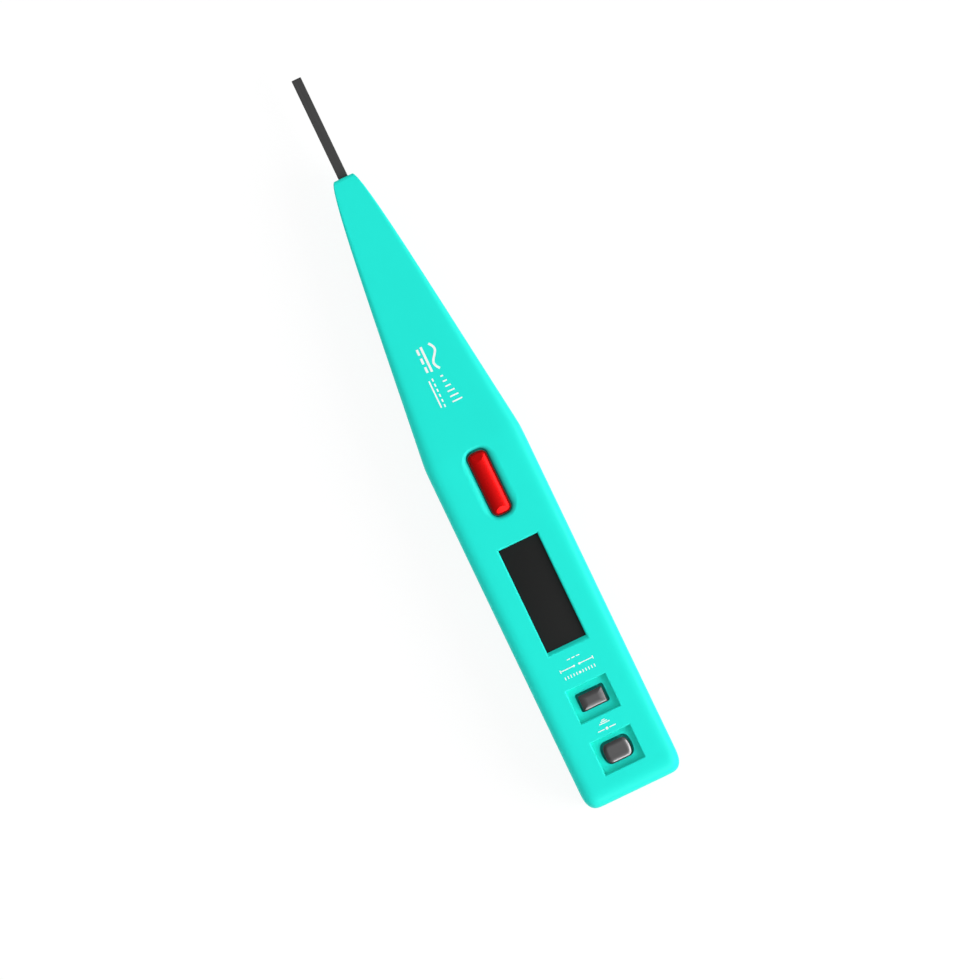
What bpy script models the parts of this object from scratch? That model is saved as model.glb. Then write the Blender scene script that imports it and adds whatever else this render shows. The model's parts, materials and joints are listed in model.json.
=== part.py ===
"""Digital test pencil: a flat voltage tester with a driver blade, a display and two touch buttons.

Metres, +Z up. The tester lies on its back with the blade pointing along +X. The origin is on the
surface that the back rests on, under the middle of the overall length. Places along the tester are
measured from its tail end; world_x turns them into the frame.
"""
import math

import bmesh
import bpy
from mathutils import Matrix, Vector

# Casing envelope
BODY_LENGTH = 0.1206
BODY_WIDTH = 0.01878
BODY_DEPTH = 0.0126
WALL = 0.0014
TAIL_CORNER_LENGTH = 0.0042
TAIL_CORNER_WIDTH = 0.0030
TAIL_EDGE_LENGTH = 0.0034
TAIL_EDGE_DEPTH = 0.0030
TAIL_SIDE_EDGE = 0.0010
SIDE_EDGE_WIDTH = 0.0028
SIDE_EDGE_DEPTH = 0.0032
CORNER_POWER = 3.0
EDGE_POWER = 2.6
SHOULDER_FROM_TAIL = 0.0674
SHOULDER_BLEND = 0.0001
SHOULDER_SPREAD = 0.0020
TAPER_SLOPE = 0.125
TAPER_HANDLE = 0.0284
NOSE_FACE_WIDTH = 0.0035
NOSE_FACE_DEPTH = 0.0052
NOSE_CORNER_HANDLE = 0.00153
NOSE_EDGE = 0.0005
NOSE_SOLID = 0.0126

# Joint between the two casings
SEAM_GAP = 0.0002
LIP_HEIGHT = 0.0008
LIP_ROOT = 0.0010
LIP_THICKNESS = 0.0006
LIP_CLEARANCE = 0.00015

# Fits shared by all pieces
SEAT_GAP = 0.0002
SIDE_GAP = 0.0002
CUT_OVERRUN = 0.0010
FUSE_DEPTH = 0.0003

# Probe blade and its holder
PROBE_REACH = 0.0194
PROBE_INSIDE = 0.0266
PROBE_WIDTH = 0.0018
PROBE_THICKNESS = 0.0012
PROBE_TIP_THICKNESS = 0.0006
PROBE_TIP_LENGTH = 0.0050
PROBE_EAR_WIDTH = 0.0034
PROBE_EAR_LENGTH = 0.0020
PROBE_EAR_FROM_END = 0.0060
PROBE_FIT = 0.00015
HOLDER_LENGTH = 0.0085
HOLDER_NOSE_GAP = 0.0003
HOLDER_CASING_GAP = 0.0003
HOLDER_CHAMFER = 0.0004
PROBE_SPRING_RADIUS = 0.0013
PROBE_SPRING_WIRE = 0.0004
PROBE_SPRING_TURNS = 7
PROBE_SPRING_LENGTH = 0.0070

# Display stack, from the front face inwards
WINDOW_FROM_TAIL = 0.0388
WINDOW_LENGTH = 0.0201
WINDOW_WIDTH = 0.00768
WINDOW_RECESS = 0.0005
WINDOW_LIP = 0.0003
WINDOW_RAMP = 0.0010
WINDOW_FLANGE_REACH = 0.0010
WINDOW_FLANGE_THICKNESS = 0.0006
LCD_END_REACH = 0.00125
LCD_SIDE_REACH = 0.00116
LCD_THICKNESS = 0.0018
LCD_LEDGE = 0.0009
HOLDER_RIM = 0.0010
ZEBRA_WIDTH = 0.0012
ZEBRA_HEIGHT = 0.0009
ZEBRA_END_GAP = 0.0008

# Indicator lens and its lamp
LENS_FROM_TAIL = 0.0605
LENS_LENGTH = 0.0120
LENS_WIDTH = 0.00345
LENS_CORNER = 0.0008
LENS_PROUD = 0.0003
LENS_CROWN = 0.0008
LENS_FIT = 0.00015
LENS_END_GAP = 0.00045
LENS_SIDE_GAP = 0.0003
LENS_LEDGE_DEPTH = 0.0010
LENS_SLOT_ROLL = 0.0014
LENS_SLOT_ROLL_DEPTH = 0.0006
LENS_FLANGE_REACH = 0.0007
LENS_FLANGE_THICKNESS = 0.0008
LAMP_LENGTH = 0.0032
LAMP_WIDTH = 0.0028
LAMP_BASE_HEIGHT = 0.0012
LAMP_DOME_RADIUS = 0.0012

# Touch buttons
BUTTON_WELL_LENGTH = 0.00634
BUTTON_WELL_WIDTH = 0.00774
BUTTON_WELL_DEPTH = 0.0013
BUTTON_WELL_LIP = 0.00025
BUTTON_WELL_FLOOR = 0.0009
BUTTON_PAD_MARGIN = 0.0008
BUTTON_HEIGHT_OVER_WELL = 0.0012
BUTTON_TRAVEL = 0.0006
BUTTON_FIT = 0.00015
BUTTON_GAP = 0.00035
BUTTON_LEDGE_DEPTH = 0.0004
BUTTON_FLANGE_REACH = 0.0006
BUTTON_FLANGE_THICKNESS = 0.0008
INDUCTANCE_FROM_TAIL = 0.01798
INDUCTANCE_LENGTH = 0.0028
INDUCTANCE_WIDTH = 0.00457
INDUCTANCE_CORNER = 0.0001
INDUCTANCE_BEVEL_ALONG = 0.00075
INDUCTANCE_BEVEL_ACROSS = 0.0011
DIRECT_FROM_TAIL = 0.00787
DIRECT_LENGTH = 0.00345
DIRECT_WIDTH = 0.0047
DIRECT_CORNER = 0.0009
DIRECT_BEVEL = 0.0006
BUTTON_BEVEL_RISE = 0.0003
BUTTON_SPRING_RADIUS = 0.00115
BUTTON_SPRING_WIRE = 0.0003
BUTTON_SPRING_TURNS = 3

# Circuit board and what it carries
BOARD_THICKNESS = 0.0010
BOARD_SIDE_GAP = 0.0006
BOARD_CHAMFER = 0.0012
BOARD_TAIL_GAP = 0.0016
BOARD_MAIN_END = 0.0662
BOARD_NECK_GAP = 0.00055
CONTACT_PLATE = 0.0004
CONTACT_WIDTH = 0.0034
CONTACT_FOOT = 0.0024
CONTACT_DROP = 0.0018
CHIP_FROM_TAIL = 0.0320
CHIP_RADIUS = 0.0032
CHIP_HEIGHT = 0.0013
CHIP_PART_LENGTH = 0.0020
CHIP_PART_WIDTH = 0.00125
CHIP_PART_HEIGHT = 0.0006
CHIP_PART_FROM_EDGE = 0.0016
CHIP_PART_PITCH = 0.0030
DIODE_FROM_LAMP = 0.0060
RESISTOR_LENGTH = 0.0063
RESISTOR_RADIUS = 0.0011
RESISTOR_WAIST = 0.0009
RESISTOR_CUP = 0.0014
RESISTOR_LEAD = 0.0005
RESISTOR_LEAD_REACH = 0.0006
RESISTOR_RAISE = 0.0003
RESISTOR_CONTACT_GAP = 0.0005

# Battery bay in the back
CELL_RADIUS = 0.00395
CELL_CAP_RADIUS = 0.0033
CELL_CAP_HEIGHT = 0.0006
CELL_CHAMFER = 0.0002
CELL_GAP = 0.0008
CELL_A_FROM_TAIL = 0.0094
BAY_GAP = 0.0003
BAY_WALL = 0.0008
COVER_END = 0.0240
COVER_WIDTH = 0.0100
COVER_TONGUE_WIDTH = 0.0010
COVER_TONGUE_THICKNESS = 0.0005
COVER_THICKNESS = 0.0010
COVER_RECESS = 0.0002
COVER_LIP_GAP = 0.0002
RAIL_MARGIN = 0.0007
RAIL_ROOF = 0.0012
RAIL_START = 0.0010
LINK_LENGTH = 0.0150
LINK_WIDTH = 0.0064
LINK_THICKNESS = 0.00025
LINK_CLEARANCE = 0.0005
LEAF_LENGTH = 0.0060
LEAF_WIDTH = 0.0030
LEAF_THICKNESS = 0.00012
LEAF_ROOM = 0.00045
GRIP_COUNT = 4
GRIP_FROM_TAIL = 0.0150
GRIP_PITCH = 0.0014
GRIP_WIDTH = 0.0006
GRIP_LENGTH = 0.0070
GRIP_DEPTH = 0.00035

# Casing screws and ribs
SCREW_FROM_TAIL = 0.0720
SCREW_FROM_SIDE = 0.0044
SCREW_HEAD_RADIUS = 0.0017
SCREW_HEAD_HEIGHT = 0.0011
SCREW_HEAD_RECESS = 0.0007
SCREW_SHANK_RADIUS = 0.0009
SCREW_POINT = 0.0010
SCREW_BITE = 0.0028
SCREW_DRIVE_DEPTH = 0.0006
SCREW_DRIVE_WIDTH = 0.00045
SCREW_DRIVE_LENGTH = 0.0020
BOSS_RADIUS = 0.00175
REAR_BOSS_RADIUS = 0.0024
PILOT_GAP = 0.00015
RIB_THICKNESS = 0.0010
RIB_PLACES = (0.0400, 0.0620)

# Mesh fineness
EDGE_STEPS = 6
TAIL_STEPS = 7
TAPER_STEPS = 12
CORNER_STEPS = 4
ROUND_SIDES = 24
CURL_POINTS = 10
SHARP_ANGLE = math.radians(32)

# Levels above the resting surface, worked out from the sizes above
PARTING = BODY_DEPTH / 2
FRONT_FACE = BODY_DEPTH
FRONT_INSIDE = BODY_DEPTH - WALL
FLANGE_TOP = FRONT_INSIDE - SEAT_GAP
WINDOW_BOTTOM = FLANGE_TOP - WINDOW_FLANGE_THICKNESS
LCD_TOP = WINDOW_BOTTOM - SEAT_GAP
LCD_BOTTOM = LCD_TOP - LCD_THICKNESS
BOARD_TOP = LCD_BOTTOM - ZEBRA_HEIGHT - 2 * SEAT_GAP
BOARD_BOTTOM = BOARD_TOP - BOARD_THICKNESS
ON_BOARD = BOARD_TOP + SEAT_GAP
UNDER_BOARD = BOARD_BOTTOM - SEAT_GAP
LENS_BOTTOM = FLANGE_TOP - LENS_FLANGE_THICKNESS
WELL_FLOOR = FRONT_FACE - BUTTON_WELL_DEPTH
PAD_BOTTOM = WELL_FLOOR - BUTTON_WELL_FLOOR
BUTTON_TOP = WELL_FLOOR + BUTTON_HEIGHT_OVER_WELL
BUTTON_FLANGE_TOP = PAD_BOTTOM - SEAT_GAP
BUTTON_BOTTOM = BUTTON_FLANGE_TOP - BUTTON_FLANGE_THICKNESS
COVER_INSIDE = COVER_RECESS + COVER_THICKNESS
TRACK_ROOF = COVER_INSIDE + SEAT_GAP
TONGUE_BOTTOM = COVER_INSIDE - COVER_TONGUE_THICKNESS
LINK_BOTTOM = COVER_INSIDE + SEAT_GAP
CELL_BOTTOM = LINK_BOTTOM + LINK_THICKNESS + SEAT_GAP
CELL_TOP = UNDER_BOARD - LEAF_ROOM
CELL_THICKNESS = CELL_TOP - CELL_BOTTOM
SCREW_SEAT = SCREW_HEAD_RECESS + SCREW_HEAD_HEIGHT

# Places along the tester, measured from the tail end
CAVITY_END = BODY_LENGTH - NOSE_SOLID
CELL_B_FROM_TAIL = CELL_A_FROM_TAIL + 2 * CELL_RADIUS + CELL_GAP
BAY_START = CELL_A_FROM_TAIL - CELL_RADIUS - BAY_GAP
BAY_END = CELL_B_FROM_TAIL + CELL_RADIUS + BAY_GAP
PROBE_END = BODY_LENGTH - PROBE_INSIDE
CONTACT_FACE = PROBE_END - 2 * SEAT_GAP - PROBE_SPRING_LENGTH
BOARD_END = CONTACT_FACE - CONTACT_PLATE - SIDE_GAP
BOARD_START = WALL + BOARD_TAIL_GAP
RESISTOR_END = CONTACT_FACE - CONTACT_PLATE - CONTACT_FOOT - RESISTOR_CONTACT_GAP
RESISTOR_FROM_TAIL = RESISTOR_END - RESISTOR_LEAD - RESISTOR_LEAD_REACH - RESISTOR_LENGTH / 2
HOLDER_END = CAVITY_END - HOLDER_NOSE_GAP
HOLDER_START = HOLDER_END - HOLDER_LENGTH

# Sizes worked out from those of the window and the body
LCD_LENGTH = WINDOW_LENGTH + 2 * LCD_END_REACH
LCD_WIDTH = WINDOW_WIDTH + 2 * LCD_SIDE_REACH
BOARD_WIDTH = BODY_WIDTH - 2 * (WALL + BOARD_SIDE_GAP)
SCREW_SPACING = BODY_WIDTH - 2 * SCREW_FROM_SIDE
BOARD_NECK_WIDTH = SCREW_SPACING - 2 * (BOSS_RADIUS + BOARD_NECK_GAP)
CHIP_PART_ROW = BOARD_WIDTH / 2 - CHIP_PART_FROM_EDGE


def world_x(from_tail):
    """The frame's X of a place measured from the tail end."""
    return from_tail - (BODY_LENGTH + PROBE_REACH) / 2


# ---------------------------------------------------------------- scene and materials


def clear_scene():
    for old in list(bpy.data.objects):
        bpy.data.objects.remove(old)


def finish(name, colour, roughness, metallic=0.0):
    """A Principled material with one colour."""
    made = bpy.data.materials.new(name)
    made.use_nodes = True
    shader = made.node_tree.nodes["Principled BSDF"]
    shader.inputs["Base Color"].default_value = (*colour, 1.0)
    shader.inputs["Roughness"].default_value = roughness
    shader.inputs["Metallic"].default_value = metallic
    made.diffuse_color = (*colour, 1.0)
    return made


def make_finishes():
    return {
        "casing": finish("casing_plastic", (0.022, 0.83, 0.68), 0.42),
        "window": finish("smoked_window", (0.021, 0.021, 0.021), 0.30),
        "lens": finish("red_lens", (0.72, 0.008, 0.008), 0.18),
        "button": finish("button_metal", (0.10, 0.10, 0.10), 0.32, 1.0),
        "blade": finish("blade_steel", (0.060, 0.060, 0.060), 0.45, 0.6),
        "board": finish("board_laminate", (0.02, 0.16, 0.06), 0.50),
        "lcd": finish("display_glass", (0.30, 0.34, 0.30), 0.15),
        "white": finish("white_plastic", (0.75, 0.75, 0.72), 0.50),
        "rubber": finish("contact_rubber", (0.05, 0.05, 0.05), 0.80),
        "lamp": finish("lamp_resin", (0.75, 0.10, 0.08), 0.20),
        "spring": finish("spring_steel", (0.55, 0.55, 0.55), 0.30, 1.0),
        "contact": finish("contact_brass", (0.72, 0.52, 0.22), 0.32, 1.0),
        "cell": finish("cell_steel", (0.62, 0.62, 0.63), 0.28, 1.0),
        "chip": finish("chip_resin", (0.02, 0.02, 0.02), 0.60),
        "resistor": finish("resistor_body", (0.56, 0.42, 0.24), 0.50),
        "screw": finish("screw_steel", (0.42, 0.42, 0.43), 0.35, 1.0),
    }


# ---------------------------------------------------------------- mesh building


def object_from(bm, name):
    """A scene object from a closed bmesh, with its faces turned outwards."""
    bmesh.ops.recalc_face_normals(bm, faces=bm.faces)
    mesh = bpy.data.meshes.new(name)
    bm.to_mesh(mesh)
    bm.free()
    mesh.shade_smooth()
    mesh.set_sharp_from_angle(angle=SHARP_ANGLE)
    made = bpy.data.objects.new(name, mesh)
    bpy.context.scene.collection.objects.link(made)
    return made


def loft(name, rings):
    """One closed solid through rings that all have the same number of points."""
    bm = bmesh.new()
    rows = [[bm.verts.new(point) for point in ring] for ring in rings]
    count = len(rings[0])
    for low, high in zip(rows, rows[1:]):
        for i in range(count):
            j = (i + 1) % count
            bm.faces.new((low[i], low[j], high[j], high[i]))
    bm.faces.new(rows[0])
    bm.faces.new(rows[-1])
    return object_from(bm, name)


def box(name, low, high):
    """A block between two corners."""
    corners = [(low[0], low[1]), (high[0], low[1]), (high[0], high[1]), (low[0], high[1])]
    return loft(name, [[(x, y, z) for x, y in corners] for z in (low[2], high[2])])


def block(name, from_tail, length, width, low, high):
    """A block centred on the tester's middle line."""
    x = world_x(from_tail)
    return box(name, (x - length / 2, -width / 2, low), (x + length / 2, width / 2, high))


def rod_prism(name, profile, start, end):
    """A profile of (y, z) points carried along the tester between two places from the tail."""
    return loft(name, [[(world_x(place), y, z) for y, z in profile] for place in (start, end)])


def side_prism(name, profile, half_width, centre_y=0.0):
    """A profile of (x, z) points carried across the tester."""
    sides = (centre_y - half_width, centre_y + half_width)
    return loft(name, [[(x, y, z) for x, z in profile] for y in sides])


def rounded_rectangle(centre_x, length, width, radius, height):
    """The points of a rectangle with round corners, level at a height."""
    radius = min(radius, length / 2 - 1e-5, width / 2 - 1e-5)
    points = []
    for quarter, (side_x, side_y) in enumerate(((1, 1), (-1, 1), (-1, -1), (1, -1))):
        corner_x = centre_x + side_x * (length / 2 - radius)
        corner_y = side_y * (width / 2 - radius)
        for step in range(CORNER_STEPS + 1):
            angle = math.pi / 2 * (quarter + step / CORNER_STEPS)
            points.append(
                (corner_x + radius * math.cos(angle), corner_y + radius * math.sin(angle), height)
            )
    return points


def rounded_stack(name, from_tail, levels, radius):
    """A solid through rounded rectangles: each level is (height, length, width)."""
    x = world_x(from_tail)
    widest = max(min(length, width) for _, length, width in levels)
    rings = []
    for height, length, width in levels:
        inset = (widest - min(length, width)) / 2
        corner = max(radius - inset, radius * 0.2)
        rings.append(rounded_rectangle(x, length, width, corner, height))
    return loft(name, rings)


def turned(name, profile, centre, along=(0, 0, 1), sides=ROUND_SIDES):
    """A turned solid through (distance along the axis, radius) points, with a flat at each end."""
    turn = Vector((0, 0, 1)).rotation_difference(Vector(along)).to_matrix()
    rings = []
    for height, radius in profile:
        ring = []
        for side in range(sides):
            angle = 2 * math.pi * side / sides
            point = Vector((radius * math.cos(angle), radius * math.sin(angle), height))
            ring.append(tuple(Vector(centre) + turn @ point))
        rings.append(ring)
    return loft(name, rings)


def coil(name, start, end, radius, wire, turns):
    """A spring of round wire wound from one point to another."""
    start, end = Vector(start), Vector(end)
    turn = Vector((0, 0, 1)).rotation_difference((end - start).normalized()).to_matrix()
    length = (end - start).length - wire
    data = bpy.data.curves.new(name, "CURVE")
    data.dimensions = "3D"
    data.bevel_depth = wire / 2
    data.bevel_resolution = 1
    data.use_fill_caps = True
    steps = turns * CURL_POINTS
    spline = data.splines.new("POLY")
    spline.points.add(steps)
    for step, point in enumerate(spline.points):
        share = step / steps
        angle = 2 * math.pi * turns * share
        local = Vector((radius * math.cos(angle), radius * math.sin(angle), wire / 2 + length * share))
        point.co = (*(start + turn @ local), 1.0)
    made = bpy.data.objects.new(name, data)
    bpy.context.scene.collection.objects.link(made)
    return made


def helper(cutter):
    """Marks an object as a tool for a Boolean, not a piece."""
    cutter.hide_render = True
    cutter.display_type = "WIRE"
    return cutter


def combine(piece, tool, operation):
    """Adds, cuts or keeps what a piece shares with a tool."""
    modifier = piece.modifiers.new(f"{operation.lower()}_{tool.name}", "BOOLEAN")
    modifier.operation = operation
    modifier.solver = "EXACT"
    modifier.object = helper(tool)


def add(piece, tool):
    combine(piece, tool, "UNION")


def cut(piece, tool):
    combine(piece, tool, "DIFFERENCE")


def place_origin(piece, point):
    """Moves a piece's origin to a point, without moving the piece."""
    piece.data.transform(Matrix.Translation(-Vector(point)))
    piece.location = point


# ---------------------------------------------------------------- casing envelope


def rounded_fall(distance, reach, depth, power):
    """How far a rounded edge has fallen below its flat, at a distance from the end of the reach."""
    if distance >= reach:
        return 0.0
    share = (reach - max(distance, 0.0)) / reach
    return depth * (1 - (1 - share**power) ** (1 / power))


def soft_least(first, second, blend):
    """The smaller of two values, with their crossing rounded over."""
    return (first + second - math.sqrt((first - second) ** 2 + blend**2)) / 2


def nose_curve(share):
    """(place from tail, half width) on the curve from the shoulder, at 0, to the nose face, at 1."""
    shoulder = Vector((SHOULDER_FROM_TAIL, BODY_WIDTH / 2))
    taper = shoulder + Vector((TAPER_HANDLE, -TAPER_SLOPE * TAPER_HANDLE))
    face = Vector((BODY_LENGTH, NOSE_FACE_WIDTH / 2))
    corner = face + Vector((0.0, NOSE_CORNER_HANDLE))
    rest = 1 - share
    return rest**3 * shoulder + 3 * rest**2 * share * taper + 3 * rest * share**2 * corner + share**3 * face


def nose_half_width(from_tail):
    """Half the width that the nose curve gives at a place, carried on straight behind the shoulder."""
    if from_tail <= SHOULDER_FROM_TAIL:
        return BODY_WIDTH / 2 + TAPER_SLOPE * (SHOULDER_FROM_TAIL - from_tail)
    low, high = 0.0, 1.0
    for _ in range(40):
        middle = (low + high) / 2
        if nose_curve(middle).x < from_tail:
            low = middle
        else:
            high = middle
    return nose_curve(high).y


def half_width(from_tail, inset):
    """Half the casing's width at a place, taken in by an inset."""
    width = soft_least(BODY_WIDTH / 2, nose_half_width(from_tail), SHOULDER_BLEND)
    reach = TAIL_CORNER_LENGTH - inset / 2
    depth = TAIL_CORNER_WIDTH - inset / 2
    return width - inset - rounded_fall(from_tail - inset, reach, depth, CORNER_POWER)


def half_depth(from_tail, inset):
    """Half the casing's depth at a place, taken in by an inset."""
    slope = (BODY_DEPTH - NOSE_FACE_DEPTH) / 2 / (BODY_LENGTH - SHOULDER_FROM_TAIL)
    nose = BODY_DEPTH / 2 - slope * (from_tail - SHOULDER_FROM_TAIL)
    depth = soft_least(BODY_DEPTH / 2, nose, SHOULDER_BLEND) - inset
    reach = TAIL_EDGE_LENGTH - inset / 2
    tail = rounded_fall(from_tail - inset, reach, TAIL_EDGE_DEPTH - inset / 2, EDGE_POWER)
    return depth - tail - rounded_fall(BODY_LENGTH - from_tail, NOSE_EDGE, NOSE_EDGE, 2.0)


def side_edge(from_tail, inset):
    """(width, depth) of the rounded edge between the side and the face at a place."""
    width = half_width(from_tail, inset)
    if from_tail > SHOULDER_FROM_TAIL:
        share = (width + inset) / (BODY_WIDTH / 2)
        scale = share**1.6
        edge = SIDE_EDGE_WIDTH * scale, SIDE_EDGE_DEPTH * scale
    else:
        fallen = (BODY_WIDTH / 2 - inset - width) / TAIL_CORNER_WIDTH
        edge = tuple(
            full + (TAIL_SIDE_EDGE - full) * min(fallen, 1.0)
            for full in (SIDE_EDGE_WIDTH, SIDE_EDGE_DEPTH)
        )
    return tuple(max(size - inset / 2, size / 4) for size in edge)


def cross_section(from_tail, inset, start):
    """(y, height above the parting plane) from one side, over the face, to the other side."""
    width, top = half_width(from_tail, inset), half_depth(from_tail, inset)
    reach, fall = side_edge(from_tail, inset)
    side = [(width, start)]
    for step in range(EDGE_STEPS + 1):
        angle = math.pi / 2 * step / EDGE_STEPS
        side.append(
            (
                width - reach * (1 - abs(math.cos(angle)) ** (2 / EDGE_POWER)),
                top - fall * (1 - math.sin(angle) ** (2 / EDGE_POWER)),
            )
        )
    return side + [(-y, height) for y, height in reversed(side)]


def stations(inset, end):
    """The places from the tail where the casing's shape is set, up to an end."""
    reach = TAIL_CORNER_LENGTH - inset / 2
    places = []
    for step in range(TAIL_STEPS + 1):
        angle = math.pi / 2 * step / TAIL_STEPS
        places.append(inset + reach * (1 - abs(math.cos(angle)) ** (2 / CORNER_POWER)))
    places += [SHOULDER_FROM_TAIL + share * SHOULDER_SPREAD for share in (-1.0, -0.4, 0.0, 0.4, 1.0)]
    places += [nose_curve(step / TAPER_STEPS).x for step in range(1, TAPER_STEPS + 1)]
    kept = sorted(place for place in places if place < end - 1e-4)
    return [*kept, end]


def casing_half(name, side, inset, start, end):
    """The front (side 1) or back (side -1) of the envelope, closed, from a start height to its face."""
    rings = []
    for place in stations(inset, end):
        points = cross_section(place, inset, start)
        rings.append([(world_x(place), y, PARTING + side * height) for y, height in points])
    return loft(name, rings)


def outline_slab(name, inset, low, high, end):
    """A level slab with the casing's outline."""
    places = stations(inset, end)
    left = [(world_x(place), half_width(place, inset)) for place in places]
    outline = left + [(x, -y) for x, y in reversed(left)]
    return loft(name, [[(x, y, z) for x, y in outline] for z in (low, high)])


# ---------------------------------------------------------------- casings and cover


def probe_channel(name):
    """The slot through the solid nose that the blade passes."""
    half_slot = PROBE_WIDTH / 2 + PROBE_FIT
    half_rise = PROBE_THICKNESS / 2 + PROBE_FIT
    return box(
        name,
        (world_x(CAVITY_END - CUT_OVERRUN), -half_slot, PARTING - half_rise),
        (world_x(BODY_LENGTH + CUT_OVERRUN), half_slot, PARTING + half_rise),
    )


def well_cutter(name, from_tail):
    """A button's well, with a small lip at the face."""
    lip = 2 * BUTTON_WELL_LIP
    levels = (
        (WELL_FLOOR, BUTTON_WELL_LENGTH, BUTTON_WELL_WIDTH),
        (FRONT_FACE - BUTTON_WELL_LIP, BUTTON_WELL_LENGTH, BUTTON_WELL_WIDTH),
        (FRONT_FACE, BUTTON_WELL_LENGTH + lip, BUTTON_WELL_WIDTH + lip),
        (FRONT_FACE + CUT_OVERRUN, BUTTON_WELL_LENGTH + lip, BUTTON_WELL_WIDTH + lip),
    )
    x = world_x(from_tail)
    rings = []
    for height, length, width in levels:
        half = (length / 2, width / 2)
        rings.append(
            [(x + sx * half[0], sy * half[1], height) for sx, sy in ((1, 1), (-1, 1), (-1, -1), (1, -1))]
        )
    return loft(name, rings)


def button_hole_cutter(name, from_tail, length, width, corner):
    """A button's hole: a close fit at the pad's underside and a wider groove above it."""
    ledge = WELL_FLOOR - BUTTON_LEDGE_DEPTH
    steps = (
        (PAD_BOTTOM - CUT_OVERRUN, BUTTON_FIT),
        (ledge, BUTTON_FIT),
        (ledge, BUTTON_GAP),
        (FRONT_FACE, BUTTON_GAP),
    )
    levels = [(height, length + 2 * gap, width + 2 * gap) for height, gap in steps]
    return rounded_stack(name, from_tail, levels, corner)


def window_cutter(name):
    """The display opening: a fine lip all round, and a ramp on the tail side."""
    centre = world_x(WINDOW_FROM_TAIL)
    tail_side, nose_side = centre - WINDOW_LENGTH / 2, centre + WINDOW_LENGTH / 2
    half = WINDOW_WIDTH / 2
    levels = (
        (FRONT_INSIDE - CUT_OVERRUN, 0.0, 0.0),
        (FRONT_FACE - WINDOW_RECESS, 0.0, 0.0),
        (FRONT_FACE - WINDOW_LIP, WINDOW_RAMP * (1 - WINDOW_LIP / WINDOW_RECESS), 0.0),
        (FRONT_FACE, WINDOW_RAMP, WINDOW_LIP),
        (FRONT_FACE + CUT_OVERRUN, WINDOW_RAMP, WINDOW_LIP),
    )
    rings = []
    for height, ramp, lip in levels:
        corners = ((nose_side + lip, half + lip), (tail_side - ramp, half + lip))
        rings.append([(x, y, height) for x, y in (*corners, *((x, -y) for x, y in reversed(corners)))])
    return loft(name, rings)


def lens_slot_cutter(name):
    """The lens slot: a close fit low down, a groove above it, and a rim that rolls in from the face."""
    close = (LENS_LENGTH + 2 * LENS_FIT, LENS_WIDTH + 2 * LENS_FIT)
    length, width = LENS_LENGTH + 2 * LENS_END_GAP, LENS_WIDTH + 2 * LENS_SIDE_GAP
    ledge = FRONT_FACE - LENS_LEDGE_DEPTH
    levels = [(FRONT_INSIDE - CUT_OVERRUN, *close), (ledge, *close), (ledge, length, width)]
    roll_steps = 5
    for step in range(roll_steps + 1):
        angle = math.pi / 2 * step / roll_steps
        spread = 2 * LENS_SLOT_ROLL * (1 - math.cos(angle))
        height = FRONT_FACE - LENS_SLOT_ROLL_DEPTH * (1 - math.sin(angle))
        levels.append((height, length + spread, width + spread))
    levels.append((FRONT_FACE + CUT_OVERRUN, levels[-1][1], levels[-1][2]))
    corner = LENS_CORNER + LENS_SIDE_GAP + LENS_SLOT_ROLL
    return rounded_stack(name, LENS_FROM_TAIL, levels, corner)


def screw_places():
    """(name, y) of each casing screw."""
    return (("left", SCREW_SPACING / 2), ("right", -SCREW_SPACING / 2))


def make_front_casing():
    casing = casing_half("front_casing", 1, 0.0, SEAM_GAP / 2, BODY_LENGTH)
    cut(casing, casing_half("front_cavity", 1, WALL, -CUT_OVERRUN, CAVITY_END))
    rebate_inset = WALL - LIP_THICKNESS - LIP_CLEARANCE
    rebate_top = PARTING + LIP_HEIGHT + LIP_CLEARANCE
    rebate_end = CAVITY_END + LIP_ROOT + LIP_CLEARANCE
    cut(casing, outline_slab("front_rebate", rebate_inset, PARTING - CUT_OVERRUN, rebate_top, rebate_end))
    buttons = (
        ("inductance", INDUCTANCE_FROM_TAIL, INDUCTANCE_LENGTH, INDUCTANCE_WIDTH, INDUCTANCE_CORNER),
        ("direct", DIRECT_FROM_TAIL, DIRECT_LENGTH, DIRECT_WIDTH, DIRECT_CORNER),
    )
    pad_length = BUTTON_WELL_LENGTH + 2 * BUTTON_PAD_MARGIN
    pad_width = BUTTON_WELL_WIDTH + 2 * BUTTON_PAD_MARGIN
    pad_top = FRONT_INSIDE + FUSE_DEPTH
    for name, place, *_ in buttons:
        add(casing, block(f"{name}_pad", place, pad_length, pad_width, PAD_BOTTOM, pad_top))
    for name, place, length, width, corner in buttons:
        cut(casing, well_cutter(f"{name}_well", place))
        cut(casing, button_hole_cutter(f"{name}_hole", place, length, width, corner))
    cut(casing, window_cutter("window_opening"))
    cut(casing, lens_slot_cutter("lens_slot"))
    boss_low = UNDER_BOARD + SEAT_GAP
    boss_top = PARTING + half_depth(SCREW_FROM_TAIL, WALL) + FUSE_DEPTH
    pilot_top = SCREW_SEAT + screw_length() + SEAT_GAP
    for name, y in screw_places():
        foot = (world_x(SCREW_FROM_TAIL), y, 0.0)
        boss = ((boss_low, BOSS_RADIUS), (boss_top, BOSS_RADIUS))
        pilot = SCREW_SHANK_RADIUS + PILOT_GAP
        add(casing, turned(f"front_boss_{name}", boss, foot))
        cut(casing, turned(f"front_pilot_{name}", ((0.0, pilot), (pilot_top, pilot)), foot))
    cut(casing, probe_channel("front_channel"))
    return casing


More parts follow.
